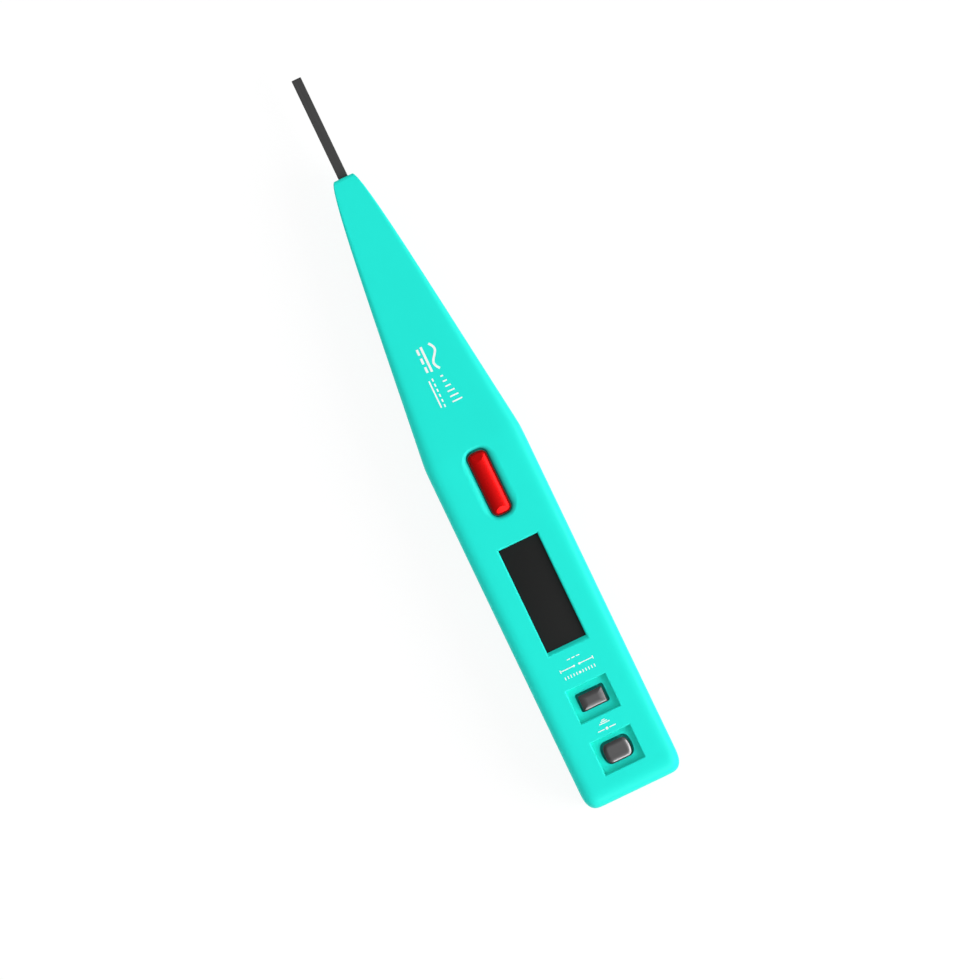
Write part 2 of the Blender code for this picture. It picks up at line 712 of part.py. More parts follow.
def track_profile():
    """The opening that the battery cover slides in, seen along the tester."""
    tongue = COVER_WIDTH / 2 + COVER_TONGUE_WIDTH + COVER_LIP_GAP
    mouth = COVER_WIDTH / 2 + COVER_LIP_GAP
    link = LINK_WIDTH / 2 + LINK_CLEARANCE
    half = [
        (mouth, -CUT_OVERRUN),
        (mouth, TONGUE_BOTTOM - COVER_LIP_GAP),
        (tongue, TONGUE_BOTTOM - COVER_LIP_GAP),
        (tongue, TRACK_ROOF),
        (link, TRACK_ROOF),
        (link, CELL_BOTTOM),
    ]
    return half + [(-y, z) for y, z in reversed(half)]


def make_rear_casing():
    casing = casing_half("rear_casing", -1, 0.0, SEAM_GAP / 2, BODY_LENGTH)
    lip_low, lip_high = PARTING - LIP_ROOT, PARTING + LIP_HEIGHT
    lip_inset = WALL - LIP_THICKNESS
    add(casing, outline_slab("rear_lip", lip_inset, lip_low, lip_high, CAVITY_END + LIP_ROOT))
    above_lip = -(LIP_HEIGHT + CUT_OVERRUN)
    cut(casing, casing_half("rear_cavity", -1, WALL, above_lip, CAVITY_END))

    bay_half = CELL_RADIUS + BAY_GAP
    bay_low = WALL - FUSE_DEPTH
    bay_walls = box(
        "bay_walls",
        (world_x(BAY_START - BAY_WALL), -bay_half - BAY_WALL, bay_low),
        (world_x(BAY_END + BAY_WALL), bay_half + BAY_WALL, UNDER_BOARD),
    )
    add(casing, bay_walls)
    rail_half = COVER_WIDTH / 2 + COVER_TONGUE_WIDTH + COVER_LIP_GAP + RAIL_MARGIN
    rails = box(
        "cover_rails",
        (world_x(RAIL_START), -rail_half, bay_low - FUSE_DEPTH),
        (world_x(COVER_END + SIDE_GAP + BAY_WALL), rail_half, TRACK_ROOF + RAIL_ROOF),
    )
    add(casing, rails)
    for number, place in enumerate(RIB_PLACES, 1):
        width = 2 * half_width(place, WALL - FUSE_DEPTH)
        add(casing, block(f"board_rib_{number}", place, RIB_THICKNESS, width, bay_low, UNDER_BOARD))
    for name, y in screw_places():
        foot = (world_x(SCREW_FROM_TAIL), y, 0.0)
        boss = ((bay_low, REAR_BOSS_RADIUS), (UNDER_BOARD, REAR_BOSS_RADIUS))
        bore = SCREW_SHANK_RADIUS + SIDE_GAP
        sink = SCREW_HEAD_RADIUS + SIDE_GAP
        add(casing, turned(f"rear_boss_{name}", boss, foot))
        cut(casing, turned(f"rear_bore_{name}", ((-CUT_OVERRUN, bore), (FRONT_FACE, bore)), foot))
        sink_levels = ((-CUT_OVERRUN, sink), (SCREW_SEAT + SEAT_GAP, sink))
        cut(casing, turned(f"rear_sink_{name}", sink_levels, foot))

    track_end = COVER_END + SIDE_GAP
    cut(casing, rod_prism("cover_track", track_profile(), -CUT_OVERRUN, track_end))
    bay = box(
        "battery_bay",
        (world_x(BAY_START), -bay_half, TRACK_ROOF - FUSE_DEPTH),
        (world_x(BAY_END), bay_half, UNDER_BOARD + CUT_OVERRUN),
    )
    cut(casing, bay)
    cut(casing, probe_channel("rear_channel"))
    return casing


def make_battery_cover():
    """The sliding cover: a tongued plate that follows the casing's tail."""
    plate, tongue = COVER_WIDTH / 2, COVER_WIDTH / 2 + COVER_TONGUE_WIDTH
    half = [
        (plate, -CUT_OVERRUN),
        (plate, TONGUE_BOTTOM),
        (tongue, TONGUE_BOTTOM),
        (tongue, COVER_INSIDE),
    ]
    profile = half + [(-y, z) for y, z in reversed(half)]
    cover = rod_prism("battery_cover", profile, -CUT_OVERRUN, COVER_END)
    combine(cover, casing_half("cover_skin", -1, COVER_RECESS, 0.0, CAVITY_END), "INTERSECT")
    for number in range(GRIP_COUNT):
        place = GRIP_FROM_TAIL + number * GRIP_PITCH
        low, high = -CUT_OVERRUN, COVER_RECESS + GRIP_DEPTH
        cut(cover, block(f"grip_{number}", place, GRIP_WIDTH, GRIP_LENGTH, low, high))
    place_origin(cover, (world_x(COVER_END / 2), 0.0, COVER_RECESS))
    return cover


# ---------------------------------------------------------------- display and lamp


def make_display_window():
    boss = (WINDOW_LENGTH - 2 * SIDE_GAP, WINDOW_WIDTH - 2 * SIDE_GAP)
    flange = (WINDOW_LENGTH + 2 * WINDOW_FLANGE_REACH, WINDOW_WIDTH + 2 * WINDOW_FLANGE_REACH)
    x = world_x(WINDOW_FROM_TAIL)
    levels = (
        (WINDOW_BOTTOM, flange),
        (FLANGE_TOP, flange),
        (FLANGE_TOP, boss),
        (FRONT_FACE - WINDOW_RECESS, boss),
    )
    signs = ((1, 1), (-1, 1), (-1, -1), (1, -1))
    rings = [[(x + sx * size[0] / 2, sy * size[1] / 2, z) for sx, sy in signs] for z, size in levels]
    return loft("display_window", rings)


def make_lcd_panel():
    """Two bonded glasses; the rear one is wider and carries the contact ledges."""
    x = world_x(WINDOW_FROM_TAIL)
    middle = (LCD_TOP + LCD_BOTTOM) / 2
    front_width = LCD_WIDTH - 2 * LCD_LEDGE
    levels = ((LCD_BOTTOM, LCD_WIDTH), (middle, LCD_WIDTH), (middle, front_width), (LCD_TOP, front_width))
    signs = ((1, 1), (-1, 1), (-1, -1), (1, -1))
    rings = [[(x + sx * LCD_LENGTH / 2, sy * width / 2, z) for sx, sy in signs] for z, width in levels]
    return loft("lcd_panel", rings)


def make_lcd_holder():
    """The frame that keeps the panel and its contact strips square to the board."""
    inner = (LCD_LENGTH + 2 * SIDE_GAP, LCD_WIDTH + 2 * SIDE_GAP)
    outer = (inner[0] + 2 * HOLDER_RIM, inner[1] + 2 * HOLDER_RIM)
    holder = block("lcd_holder", WINDOW_FROM_TAIL, outer[0], outer[1], ON_BOARD, LCD_TOP)
    low, high = ON_BOARD - CUT_OVERRUN, LCD_TOP + CUT_OVERRUN
    cut(holder, block("lcd_holder_opening", WINDOW_FROM_TAIL, inner[0], inner[1], low, high))
    return holder


def make_zebra_strips():
    """The rubber strips that join the panel's ledges to the board."""
    x = world_x(WINDOW_FROM_TAIL)
    half = LCD_LENGTH / 2 - ZEBRA_END_GAP
    outside = LCD_WIDTH / 2
    strips = []
    for name, side in (("left", 1), ("right", -1)):
        near, far = side * (outside - ZEBRA_WIDTH), side * outside
        low = (x - half, min(near, far), ON_BOARD)
        high = (x + half, max(near, far), LCD_BOTTOM - SEAT_GAP)
        strips.append(box(f"zebra_strip_{name}", low, high))
    return strips


def make_indicator_lens():
    """The red lens: a flange under the face and a crowned top whose ends are hipped."""
    flange_length = LENS_LENGTH + 2 * (LENS_FIT + LENS_FLANGE_REACH)
    flange_width = LENS_WIDTH + 2 * (LENS_FIT + LENS_FLANGE_REACH)
    crown_top = FRONT_FACE + LENS_PROUD
    levels = [
        (LENS_BOTTOM, flange_length, flange_width),
        (FLANGE_TOP, flange_length, flange_width),
        (FLANGE_TOP, LENS_LENGTH, LENS_WIDTH),
    ]
    crown_steps = 6
    for step in range(crown_steps + 1):
        angle = math.pi / 2 * step / crown_steps
        inset = (LENS_WIDTH / 2 - 0.0001) * (1 - math.cos(angle))
        height = crown_top - LENS_CROWN * (1 - math.sin(angle))
        levels.append((height, LENS_LENGTH - 2 * inset, LENS_WIDTH - 2 * inset))
    corner = LENS_CORNER + LENS_FIT + LENS_FLANGE_REACH
    return rounded_stack("indicator_lens", LENS_FROM_TAIL, levels, corner)


def make_indicator_lamp():
    base_top = ON_BOARD + LAMP_BASE_HEIGHT
    lamp = block("indicator_lamp", LENS_FROM_TAIL, LAMP_LENGTH, LAMP_WIDTH, ON_BOARD, base_top)
    dome_base = base_top - FUSE_DEPTH
    dome_top = LENS_BOTTOM - SEAT_GAP
    straight = max(dome_top - LAMP_DOME_RADIUS, dome_base + FUSE_DEPTH * 2)
    profile = [(dome_base, LAMP_DOME_RADIUS)]
    steps = 4
    for step in range(steps):
        angle = math.pi / 2 * step / steps
        rise = (dome_top - straight) * math.sin(angle)
        profile.append((straight + rise, LAMP_DOME_RADIUS * math.cos(angle)))
    profile.append((dome_top, LAMP_DOME_RADIUS * 0.1))
    add(lamp, turned("lamp_dome", profile, (world_x(LENS_FROM_TAIL), 0.0, 0.0), sides=16))
    return lamp


# ---------------------------------------------------------------- buttons


def make_button(name, place, length, width, corner, bevel_along, bevel_across):
    """A touch button: a flange under the well's floor and a bevelled metal top."""
    flange = 2 * (BUTTON_FIT + BUTTON_FLANGE_REACH)
    levels = [
        (BUTTON_BOTTOM, length + flange, width + flange),
        (BUTTON_FLANGE_TOP, length + flange, width + flange),
        (BUTTON_FLANGE_TOP, length, width),
    ]
    bevel_steps = 4
    for step in range(bevel_steps + 1):
        angle = math.pi / 2 * step / bevel_steps
        inset = 2 * (1 - math.cos(angle))
        height = BUTTON_TOP - BUTTON_BEVEL_RISE * (1 - math.sin(angle))
        levels.append((height, length - bevel_along * inset, width - bevel_across * inset))
    button = rounded_stack(f"{name}_button", place, levels, corner + flange / 2)
    place_origin(button, (world_x(place), 0.0, BUTTON_BOTTOM))
    return button


def make_button_spring(name, place):
    x = world_x(place)
    return coil(
        f"{name}_button_spring",
        (x, 0.0, ON_BOARD),
        (x, 0.0, BUTTON_BOTTOM - SEAT_GAP),
        BUTTON_SPRING_RADIUS,
        BUTTON_SPRING_WIRE,
        BUTTON_SPRING_TURNS,
    )


# ---------------------------------------------------------------- board and electronics


def make_circuit_board():
    """The board: a full-width part under the controls, and a neck that runs between the screws."""
    half, neck, chamfer = BOARD_WIDTH / 2, BOARD_NECK_WIDTH / 2, BOARD_CHAMFER
    left = [
        (BOARD_START, half - chamfer),
        (BOARD_START + chamfer, half),
        (BOARD_MAIN_END - chamfer, half),
        (BOARD_MAIN_END, half - chamfer),
        (BOARD_MAIN_END, neck),
        (BOARD_END, neck),
    ]
    outline = [(world_x(place), y) for place, y in left]
    outline += [(x, -y) for x, y in reversed(outline)]
    return loft("circuit_board", [[(x, y, z) for x, y in outline] for z in (BOARD_BOTTOM, BOARD_TOP)])


def make_probe_contact():
    """The bent plate at the board's end that the probe spring presses on."""
    face, back = world_x(CONTACT_FACE), world_x(CONTACT_FACE - CONTACT_PLATE)
    heel = back - CONTACT_FOOT
    foot_top = ON_BOARD + CONTACT_PLATE
    profile = [
        (heel, ON_BOARD),
        (back, ON_BOARD),
        (back, PARTING - CONTACT_DROP),
        (face, PARTING - CONTACT_DROP),
        (face, foot_top),
        (heel, foot_top),
    ]
    return side_prism("probe_contact", profile, CONTACT_WIDTH / 2)


def make_controller_chip():
    """The resin blob over the measuring chip, under the board."""
    profile = [(UNDER_BOARD - CHIP_HEIGHT, CHIP_RADIUS * 0.12)]
    steps = 4
    for step in range(1, steps + 1):
        angle = math.pi / 2 * step / steps
        profile.append((UNDER_BOARD - CHIP_HEIGHT * math.cos(angle), CHIP_RADIUS * math.sin(angle)))
    return turned("controller_chip", profile, (world_x(CHIP_FROM_TAIL), 0.0, 0.0), sides=20)


def make_chip_part(name, place, y, low):
    """A small surface-mounted part."""
    x = world_x(place)
    return box(
        name,
        (x - CHIP_PART_LENGTH / 2, y - CHIP_PART_WIDTH / 2, low),
        (x + CHIP_PART_LENGTH / 2, y + CHIP_PART_WIDTH / 2, low + CHIP_PART_HEIGHT),
    )


def make_chip_parts():
    """A row of parts on each side of the chip, under the board, and a diode on it by the lamp."""
    under = UNDER_BOARD - CHIP_PART_HEIGHT
    parts = []
    for kind, count, y in (("resistor", 3, CHIP_PART_ROW), ("capacitor", 2, -CHIP_PART_ROW)):
        for number in range(count):
            place = CHIP_FROM_TAIL + (number - (count - 1) / 2) * CHIP_PART_PITCH
            parts.append(make_chip_part(f"chip_{kind}_{number + 1}", place, y, under))
    parts.append(make_chip_part("chip_diode", LENS_FROM_TAIL - DIODE_FROM_LAMP, CHIP_PART_ROW, ON_BOARD))
    return parts


def make_safety_resistor():
    """The resistor in the probe's line: a waisted body between two end cups, on bent leads."""
    x = world_x(RESISTOR_FROM_TAIL)
    middle = BOARD_TOP + RESISTOR_RAISE + RESISTOR_RADIUS
    half, cup = RESISTOR_LENGTH / 2, RESISTOR_CUP
    profile = [
        (-half, RESISTOR_WAIST * 0.6),
        (-half + cup * 0.25, RESISTOR_RADIUS),
        (-half + cup, RESISTOR_RADIUS),
        (-half + cup * 1.3, RESISTOR_WAIST),
    ]
    profile += [(-along, radius) for along, radius in reversed(profile)]
    body = turned("safety_resistor", profile, (x, 0.0, middle), along=(1, 0, 0), sides=16)
    lead = RESISTOR_LEAD
    for name, side in (("tail", -1), ("nose", 1)):
        root, bend = side * (half - cup * 0.5), side * (half + RESISTOR_LEAD_REACH)
        outer = bend + side * lead
        shape = [
            (x + root, middle + lead / 2),
            (x + outer, middle + lead / 2),
            (x + outer, ON_BOARD),
            (x + bend, ON_BOARD),
            (x + bend, middle - lead / 2),
            (x + root, middle - lead / 2),
        ]
        add(body, side_prism(f"resistor_lead_{name}", shape, lead / 2))
    return body


# ---------------------------------------------------------------- probe


def make_probe_blade():
    """The driver blade: a flat bar with two ears that lock it in its holder, thinned at the tip."""
    tip = world_x(BODY_LENGTH + PROBE_REACH)
    tail = world_x(PROBE_END)
    half = PROBE_THICKNESS / 2
    tip_half = PROBE_TIP_THICKNESS / 2
    profile = [
        (tail, PARTING - half),
        (tip - PROBE_TIP_LENGTH, PARTING - half),
        (tip, PARTING - tip_half),
        (tip, PARTING + tip_half),
        (tip - PROBE_TIP_LENGTH, PARTING + half),
        (tail, PARTING + half),
    ]
    blade = side_prism("probe_blade", profile, PROBE_WIDTH / 2)
    ear = PROBE_END + PROBE_EAR_FROM_END
    rise = PROBE_THICKNESS / 2 * 0.8
    ears = block("probe_ears", ear, PROBE_EAR_LENGTH, PROBE_EAR_WIDTH, PARTING - rise, PARTING + rise)
    add(blade, ears)
    return blade


def make_probe_holder():
    """The insulating block that grips the blade behind the nose."""
    half_y = half_width(HOLDER_END, WALL) - HOLDER_CASING_GAP
    half_z = half_depth(HOLDER_END, WALL) - HOLDER_CASING_GAP
    low, high = PARTING - half_z, PARTING + half_z
    middle = (HOLDER_START + HOLDER_END) / 2
    holder = block("probe_holder", middle, HOLDER_LENGTH, 2 * half_y, low, high)
    chamfer = holder.modifiers.new("chamfer", "BEVEL")
    chamfer.width = HOLDER_CHAMFER
    chamfer.segments = 1
    slot_half_z = PROBE_THICKNESS / 2 + PROBE_FIT
    slot = block(
        "holder_slot",
        middle,
        HOLDER_LENGTH + 2 * CUT_OVERRUN,
        PROBE_WIDTH + 2 * PROBE_FIT,
        PARTING - slot_half_z,
        PARTING + slot_half_z,
    )
    cut(holder, slot)
    pocket_end = PROBE_END + PROBE_EAR_FROM_END + PROBE_EAR_LENGTH / 2 + SEAT_GAP
    pocket_half = PROBE_EAR_WIDTH / 2 + PROBE_FIT
    pocket = box(
        "holder_pocket",
        (world_x(HOLDER_START - CUT_OVERRUN), -pocket_half, PARTING - slot_half_z - PROBE_FIT),
        (world_x(pocket_end), pocket_half, PARTING + slot_half_z + PROBE_FIT),
    )
    cut(holder, pocket)
    return holder


def make_probe_spring():
    return coil(
        "probe_spring",
        (world_x(CONTACT_FACE + SEAT_GAP), 0.0, PARTING),
        (world_x(PROBE_END - SEAT_GAP), 0.0, PARTING),
        PROBE_SPRING_RADIUS,
        PROBE_SPRING_WIRE,
        PROBE_SPRING_TURNS,
    )


# ---------------------------------------------------------------- battery and screws


def make_cell(name, place, cap_up):
    """A button cell: a steel can with its smaller cap up or down."""
    cap, can = CELL_CAP_RADIUS, CELL_RADIUS
    shoulder = CELL_THICKNESS - CELL_CAP_HEIGHT
    profile = [(0.0, can - CELL_CHAMFER), (CELL_CHAMFER, can), (shoulder, can), (shoulder, cap)]
    profile.append((CELL_THICKNESS, cap))
    if not cap_up:
        profile = [(CELL_THICKNESS - height, radius) for height, radius in reversed(profile)]
    return turned(name, profile, (world_x(place), 0.0, CELL_BOTTOM), sides=32)


def make_battery_leaf(name, place):
    """A bowed contact leaf between the board and a cell."""
    x = world_x(place)
    bow_top = UNDER_BOARD
    bow = max(bow_top - LEAF_THICKNESS - (CELL_TOP + SEAT_GAP), LEAF_THICKNESS)
    steps = 8
    upper = []
    for step in range(steps + 1):
        share = 2 * step / steps - 1
        upper.append((x + share * LEAF_LENGTH / 2, bow_top - bow * (1 - share**2)))
    lower = [(along, height - LEAF_THICKNESS) for along, height in reversed(upper)]
    return side_prism(name, upper + lower, LEAF_WIDTH / 2)


def make_link_plate():
    """The strip on the cover that joins the two cells in series."""
    middle = (CELL_A_FROM_TAIL + CELL_B_FROM_TAIL) / 2
    link = block(
        "battery_link", middle, LINK_LENGTH, LINK_WIDTH, LINK_BOTTOM, LINK_BOTTOM + LINK_THICKNESS
    )
    place_origin(link, (world_x(middle), 0.0, LINK_BOTTOM))
    return link


def screw_length():
    """The shank's length under the head."""
    return BOARD_TOP + SCREW_BITE - SCREW_SEAT


def make_screw(name, y):
    """A self-tapping casing screw, driven from the back."""
    shank = SCREW_SHANK_RADIUS
    end = screw_length()
    profile = [
        (-SCREW_HEAD_HEIGHT, SCREW_HEAD_RADIUS * 0.82),
        (-SCREW_HEAD_HEIGHT * 0.7, SCREW_HEAD_RADIUS),
        (0.0, SCREW_HEAD_RADIUS),
        (0.0, shank),
        (end - SCREW_POINT, shank),
        (end, shank * 0.25),
    ]
    foot = (world_x(SCREW_FROM_TAIL), y, SCREW_SEAT)
    screw = turned(f"casing_screw_{name}", profile, foot, sides=20)
    low, high = SCREW_HEAD_RECESS - CUT_OVERRUN, SCREW_HEAD_RECESS + SCREW_DRIVE_DEPTH
    drives = (
        ("along", SCREW_DRIVE_LENGTH, SCREW_DRIVE_WIDTH),
        ("across", SCREW_DRIVE_WIDTH, SCREW_DRIVE_LENGTH),
    )
    for way, length, width in drives:
        slot = box(
            f"drive_{name}_{way}",
            (foot[0] - length / 2, y - width / 2, low),
            (foot[0] + length / 2, y + width / 2, high),
        )
        cut(screw, slot)
    return screw


# ---------------------------------------------------------------- assembly


def dress(finishes, slot, *pieces):
    """Gives pieces their material and hangs them on the tester's empty."""
    for piece in pieces:
        piece.data.materials.append(finishes[slot])
        piece.parent = bpy.data.objects["tester"]


def main():
    clear_scene()
    tester = bpy.data.objects.new("tester", None)
    bpy.context.scene.collection.objects.link(tester)
    finishes = make_finishes()
    dress(finishes, "casing", make_front_casing(), make_rear_casing(), make_battery_cover())
    dress(finishes, "window", make_display_window())
    dress(finishes, "lcd", make_lcd_panel())
    dress(finishes, "white", make_lcd_holder(), make_probe_holder())
    dress(finishes, "rubber", *make_zebra_strips())
    dress(finishes, "lens", make_indicator_lens())
    dress(finishes, "lamp", make_indicator_lamp())
    inductance = make_button(
        "inductance",
        INDUCTANCE_FROM_TAIL,
        INDUCTANCE_LENGTH,
        INDUCTANCE_WIDTH,
        INDUCTANCE_CORNER,
        INDUCTANCE_BEVEL_ALONG,
        INDUCTANCE_BEVEL_ACROSS,
    )
    direct = make_button(
        "direct",
        DIRECT_FROM_TAIL,
        DIRECT_LENGTH,
        DIRECT_WIDTH,
        DIRECT_CORNER,
        DIRECT_BEVEL,
        DIRECT_BEVEL,
    )
    dress(finishes, "button", inductance, direct)
    inductance_spring = make_button_spring("inductance", INDUCTANCE_FROM_TAIL)
    direct_spring = make_button_spring("direct", DIRECT_FROM_TAIL)
    dress(finishes, "spring", inductance_spring, direct_spring, make_probe_spring())
    dress(finishes, "board", make_circuit_board())
    dress(finishes, "chip", make_controller_chip(), *make_chip_parts())
    dress(finishes, "resistor", make_safety_resistor())
    dress(finishes, "blade", make_probe_blade())
    cell_a = make_cell("battery_cell_a", CELL_A_FROM_TAIL, True)
    cell_b = make_cell("battery_cell_b", CELL_B_FROM_TAIL, False)
    dress(finishes, "cell", cell_a, cell_b)
    leaf_a = make_battery_leaf("battery_leaf_negative", CELL_A_FROM_TAIL)
    leaf_b = make_battery_leaf("battery_leaf_positive", CELL_B_FROM_TAIL)
    dress(finishes, "contact", make_probe_contact(), leaf_a, leaf_b, make_link_plate())
    dress(finishes, "screw", *(make_screw(name, y) for name, y in screw_places()))


main()
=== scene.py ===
"""Looks of a flat voltage tester: finer shells, lens, window, buttons, blade and print on the packed frame.

Metres, in the frame's own axes: +X from the tail to the blade tip, +Z out of the front face.
"""
import json
import math

import bmesh
import bpy
from bpy.props import FloatProperty, FloatVectorProperty, IntProperty, PointerProperty
from bpy.types import Operator, Panel, PropertyGroup
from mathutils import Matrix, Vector


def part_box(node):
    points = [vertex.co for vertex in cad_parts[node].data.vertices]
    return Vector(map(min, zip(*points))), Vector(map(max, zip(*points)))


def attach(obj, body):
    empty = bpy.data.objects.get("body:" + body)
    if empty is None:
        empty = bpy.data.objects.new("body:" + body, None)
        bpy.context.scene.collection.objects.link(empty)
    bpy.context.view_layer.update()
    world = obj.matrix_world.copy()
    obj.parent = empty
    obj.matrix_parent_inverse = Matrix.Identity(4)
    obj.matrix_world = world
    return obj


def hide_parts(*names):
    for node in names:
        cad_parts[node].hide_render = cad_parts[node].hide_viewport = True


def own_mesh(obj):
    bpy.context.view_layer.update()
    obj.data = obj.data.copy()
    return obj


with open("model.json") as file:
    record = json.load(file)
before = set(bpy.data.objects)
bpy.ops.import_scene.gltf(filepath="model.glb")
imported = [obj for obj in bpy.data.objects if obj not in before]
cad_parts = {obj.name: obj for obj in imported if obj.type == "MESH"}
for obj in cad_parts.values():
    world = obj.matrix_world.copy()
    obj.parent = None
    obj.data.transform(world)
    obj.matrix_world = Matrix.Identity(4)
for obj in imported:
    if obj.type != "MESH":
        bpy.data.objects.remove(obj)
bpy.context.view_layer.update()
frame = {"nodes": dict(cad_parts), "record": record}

bl_info = {
    "name": "Flat voltage tester",
    "version": (1, 0, 0),
    "blender": (4, 5, 0),
    "location": "3D View > Sidebar > Tester",
    "description": "Builds the visible pieces of a flat voltage tester around its packed frame",
    "category": "Add Mesh",
}

BODY = "tester_body"
COVER_BODY = "cover"

# Places and sizes read from the frame
FRONT_LOW, FRONT_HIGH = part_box("front_casing")
REAR_LOW, REAR_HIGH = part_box("rear_casing")
TAIL = FRONT_LOW.x
FACE = FRONT_HIGH.z
BACK = REAR_LOW.z
PARTING = (FACE + BACK) / 2
BODY_LENGTH = FRONT_HIGH.x - TAIL
BODY_WIDTH = FRONT_HIGH.y - FRONT_LOW.y

SHARP_ANGLE = math.radians(32)
OVERRUN = 0.0010
FUSE = 0.0003
CORNERS = ((1, 1), (-1, 1), (-1, -1), (1, -1))
SIDES = ("left", "right")
# Name of the face attribute that carries the painted shade in the grooves
PAINTED_SHADE_MARK = "groove"

# The rear shell's lip in the front shell, and the play round the cover's link strip
LIP_INSET, LIP_ROOT, LIP_PLAY = 0.0008, 0.0010, 0.00015
LINK_PLAY = 0.0005


def middle_of(node):
    """The centre of a CAD node's box."""
    low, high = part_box(node)
    return (low + high) / 2


def foot_of(node, height=0.0):
    """The middle of a CAD node's box in plan, at a height."""
    low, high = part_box(node)
    return ((low.x + high.x) / 2, (low.y + high.y) / 2, height)


def from_tail(x):
    """How far a place in the frame is from the tail end."""
    return x - TAIL


def within(share):
    """A share held between 0 and 1."""
    return min(max(share, 0.0), 1.0)


# ---------------------------------------------------------------- settings


def metres(name, description, default, least=0.0):
    return FloatProperty(
        name=name, description=description, default=default, min=least, precision=5, unit="LENGTH"
    )


def degrees(name, description, default):
    return FloatProperty(
        name=name, description=description, default=math.radians(default), subtype="ANGLE"
    )


def colour(name, description, default):
    return FloatVectorProperty(
        name=name, description=description, default=default, size=3, min=0.0, max=1.0, subtype="COLOR"
    )


def number(name, description, default):
    return FloatProperty(name=name, description=description, default=default, min=0.0, precision=3)


def whole_number(name, description, default, least):
    return IntProperty(name=name, description=description, default=default, min=least)


class CasingForm(PropertyGroup):
    """The outer form of the moulded casing"""

    wall: metres("Wall", "Thickness of the moulded wall", 0.0014)
    tail_corner_length: metres("Tail corner length", "Reach of a tail corner along the tester", 0.0042)
    tail_corner_width: metres("Tail corner width", "Reach of a tail corner across the tester", 0.0030)
    tail_edge_length: metres("Tail edge length", "Reach of the face's rounding at the tail", 0.0034)
    tail_edge_depth: metres("Tail edge depth", "Fall of the face's rounding at the tail", 0.0030)
    tail_side_edge: metres("Tail side edge", "Side rounding left at the tail end", 0.0010)
    side_edge_width: metres("Side edge width", "Reach of the side rounding across the face", 0.0032)
    side_edge_depth: metres("Side edge depth", "Fall of the side rounding down the side", 0.0030)
    corner_power: number("Corner power", "Fullness of the tail corners", 3.0)
    edge_power: number("Edge power", "Fullness of the side rounding", 3.3)
    tail_power: number("Tail power", "Fullness of the face's rounding at the tail", 2.6)
    shoulder: metres("Shoulder", "Distance from the tail to where the nose starts", 0.0674)
    shoulder_blend: metres("Shoulder blend", "How softly the shoulder turns into the nose", 0.0001)
    taper_slope: number("Taper slope", "Inward slope of the side just past the shoulder", 0.125)
    taper_handle: metres("Taper handle", "How far the shoulder's slope carries on", 0.0284)
    nose_width: metres("Nose width", "Width of the nose's end face", 0.0035)
    nose_depth: metres("Nose depth", "Depth of the nose's end face", 0.0052)
    nose_handle: metres("Nose handle", "Roundness of the nose's corners", 0.00153)
    nose_edge: metres("Nose edge", "Rounding of the nose's end edges", 0.0005)
    nose_solid: metres("Solid nose", "Length of the nose that has no hollow", 0.0126)
    seam_gap: metres("Seam gap", "Gap between the two shells", 0.0002)
    seam_edge: metres("Seam edge", "Rounding of each shell along the seam", 0.00015)
    edge_steps: whole_number("Edge steps", "Faces across the side rounding", 14, 4)
    tail_steps: whole_number("Tail steps", "Rings round the tail corner", 20, 4)
    nose_steps: whole_number("Nose steps", "Rings along the nose", 44, 8)


class OpeningForm(PropertyGroup):
    """The openings of the front shell"""

    window_length: metres("Window length", "Length of the display opening", 0.0201)
    window_width: metres("Window width", "Width of the display opening", 0.00768)
    window_recess: metres("Window recess", "How deep the window lies in the face", 0.0008)
    window_ramp: metres("Window ramp", "Reach of the opening's sloping tail edge", 0.0010)
    window_lip: metres("Window lip", "Roll of the opening's other edges", 0.00042)
    well_length: metres("Well length", "Length of a button's well", 0.00634)
    well_width: metres("Well width", "Width of a button's well", 0.00774)
    well_depth: metres("Well depth", "Depth of a button's well", 0.0013)
    well_lip: metres("Well lip", "Rounding at the rim of a well", 0.00026)
    well_foot: metres("Well foot", "Rounding at the foot of a well", 0.00008)
    well_corner: metres("Well corner", "Corner radius of a well", 0.00010)
    pad: metres("Well floor", "Thickness of the floor under a well", 0.0013)
    pad_margin: metres("Pad margin", "How far the floor's pad passes the well", 0.0008)
    fit: metres("Fit", "Close gap low in the button holes and the lens slot", 0.00015)
    groove_tail_gap: metres("Groove tail gap", "Width of the groove at a button's tail side", 0.00022)
    groove_tip_gap: metres("Groove tip gap", "Width of the groove at a button's other side", 0.00067)
    groove_side_gap: metres("Groove side gap", "Width of the groove at a button's ends", 0.00060)
    groove_depth: metres("Groove depth", "Depth of that groove under the well's floor", 0.0012)
    # Painted shade: how dark the colour is painted in the grooves beside the buttons and round the lens
    groove_shade: number("Groove shade", "Darkness beside the buttons, against 1 at their ends", 0.5)
    slot_shade: number("Slot shade", "Darkness round the lens, against 1 at the buttons' ends", 0.85)
    slot_tail_gap: metres("Slot tail gap", "Width of the groove at the lens's tail end", 0.00040)
    slot_tip_gap: metres("Slot tip gap", "Width of the groove at the lens's other end", 0.00058)
    slot_side_gap: metres("Slot side gap", "Width of the groove along the lens's sides", 0.00040)
    slot_ledge: metres("Slot ledge", "Depth of the lens's groove under the face", 0.0012)
    slot_roll: metres("Slot roll", "Reach of the rolled rim beside the lens", 0.0015)
    slot_end_roll: metres("Slot end roll", "Reach of the rolled rim at the lens's ends", 0.0009)


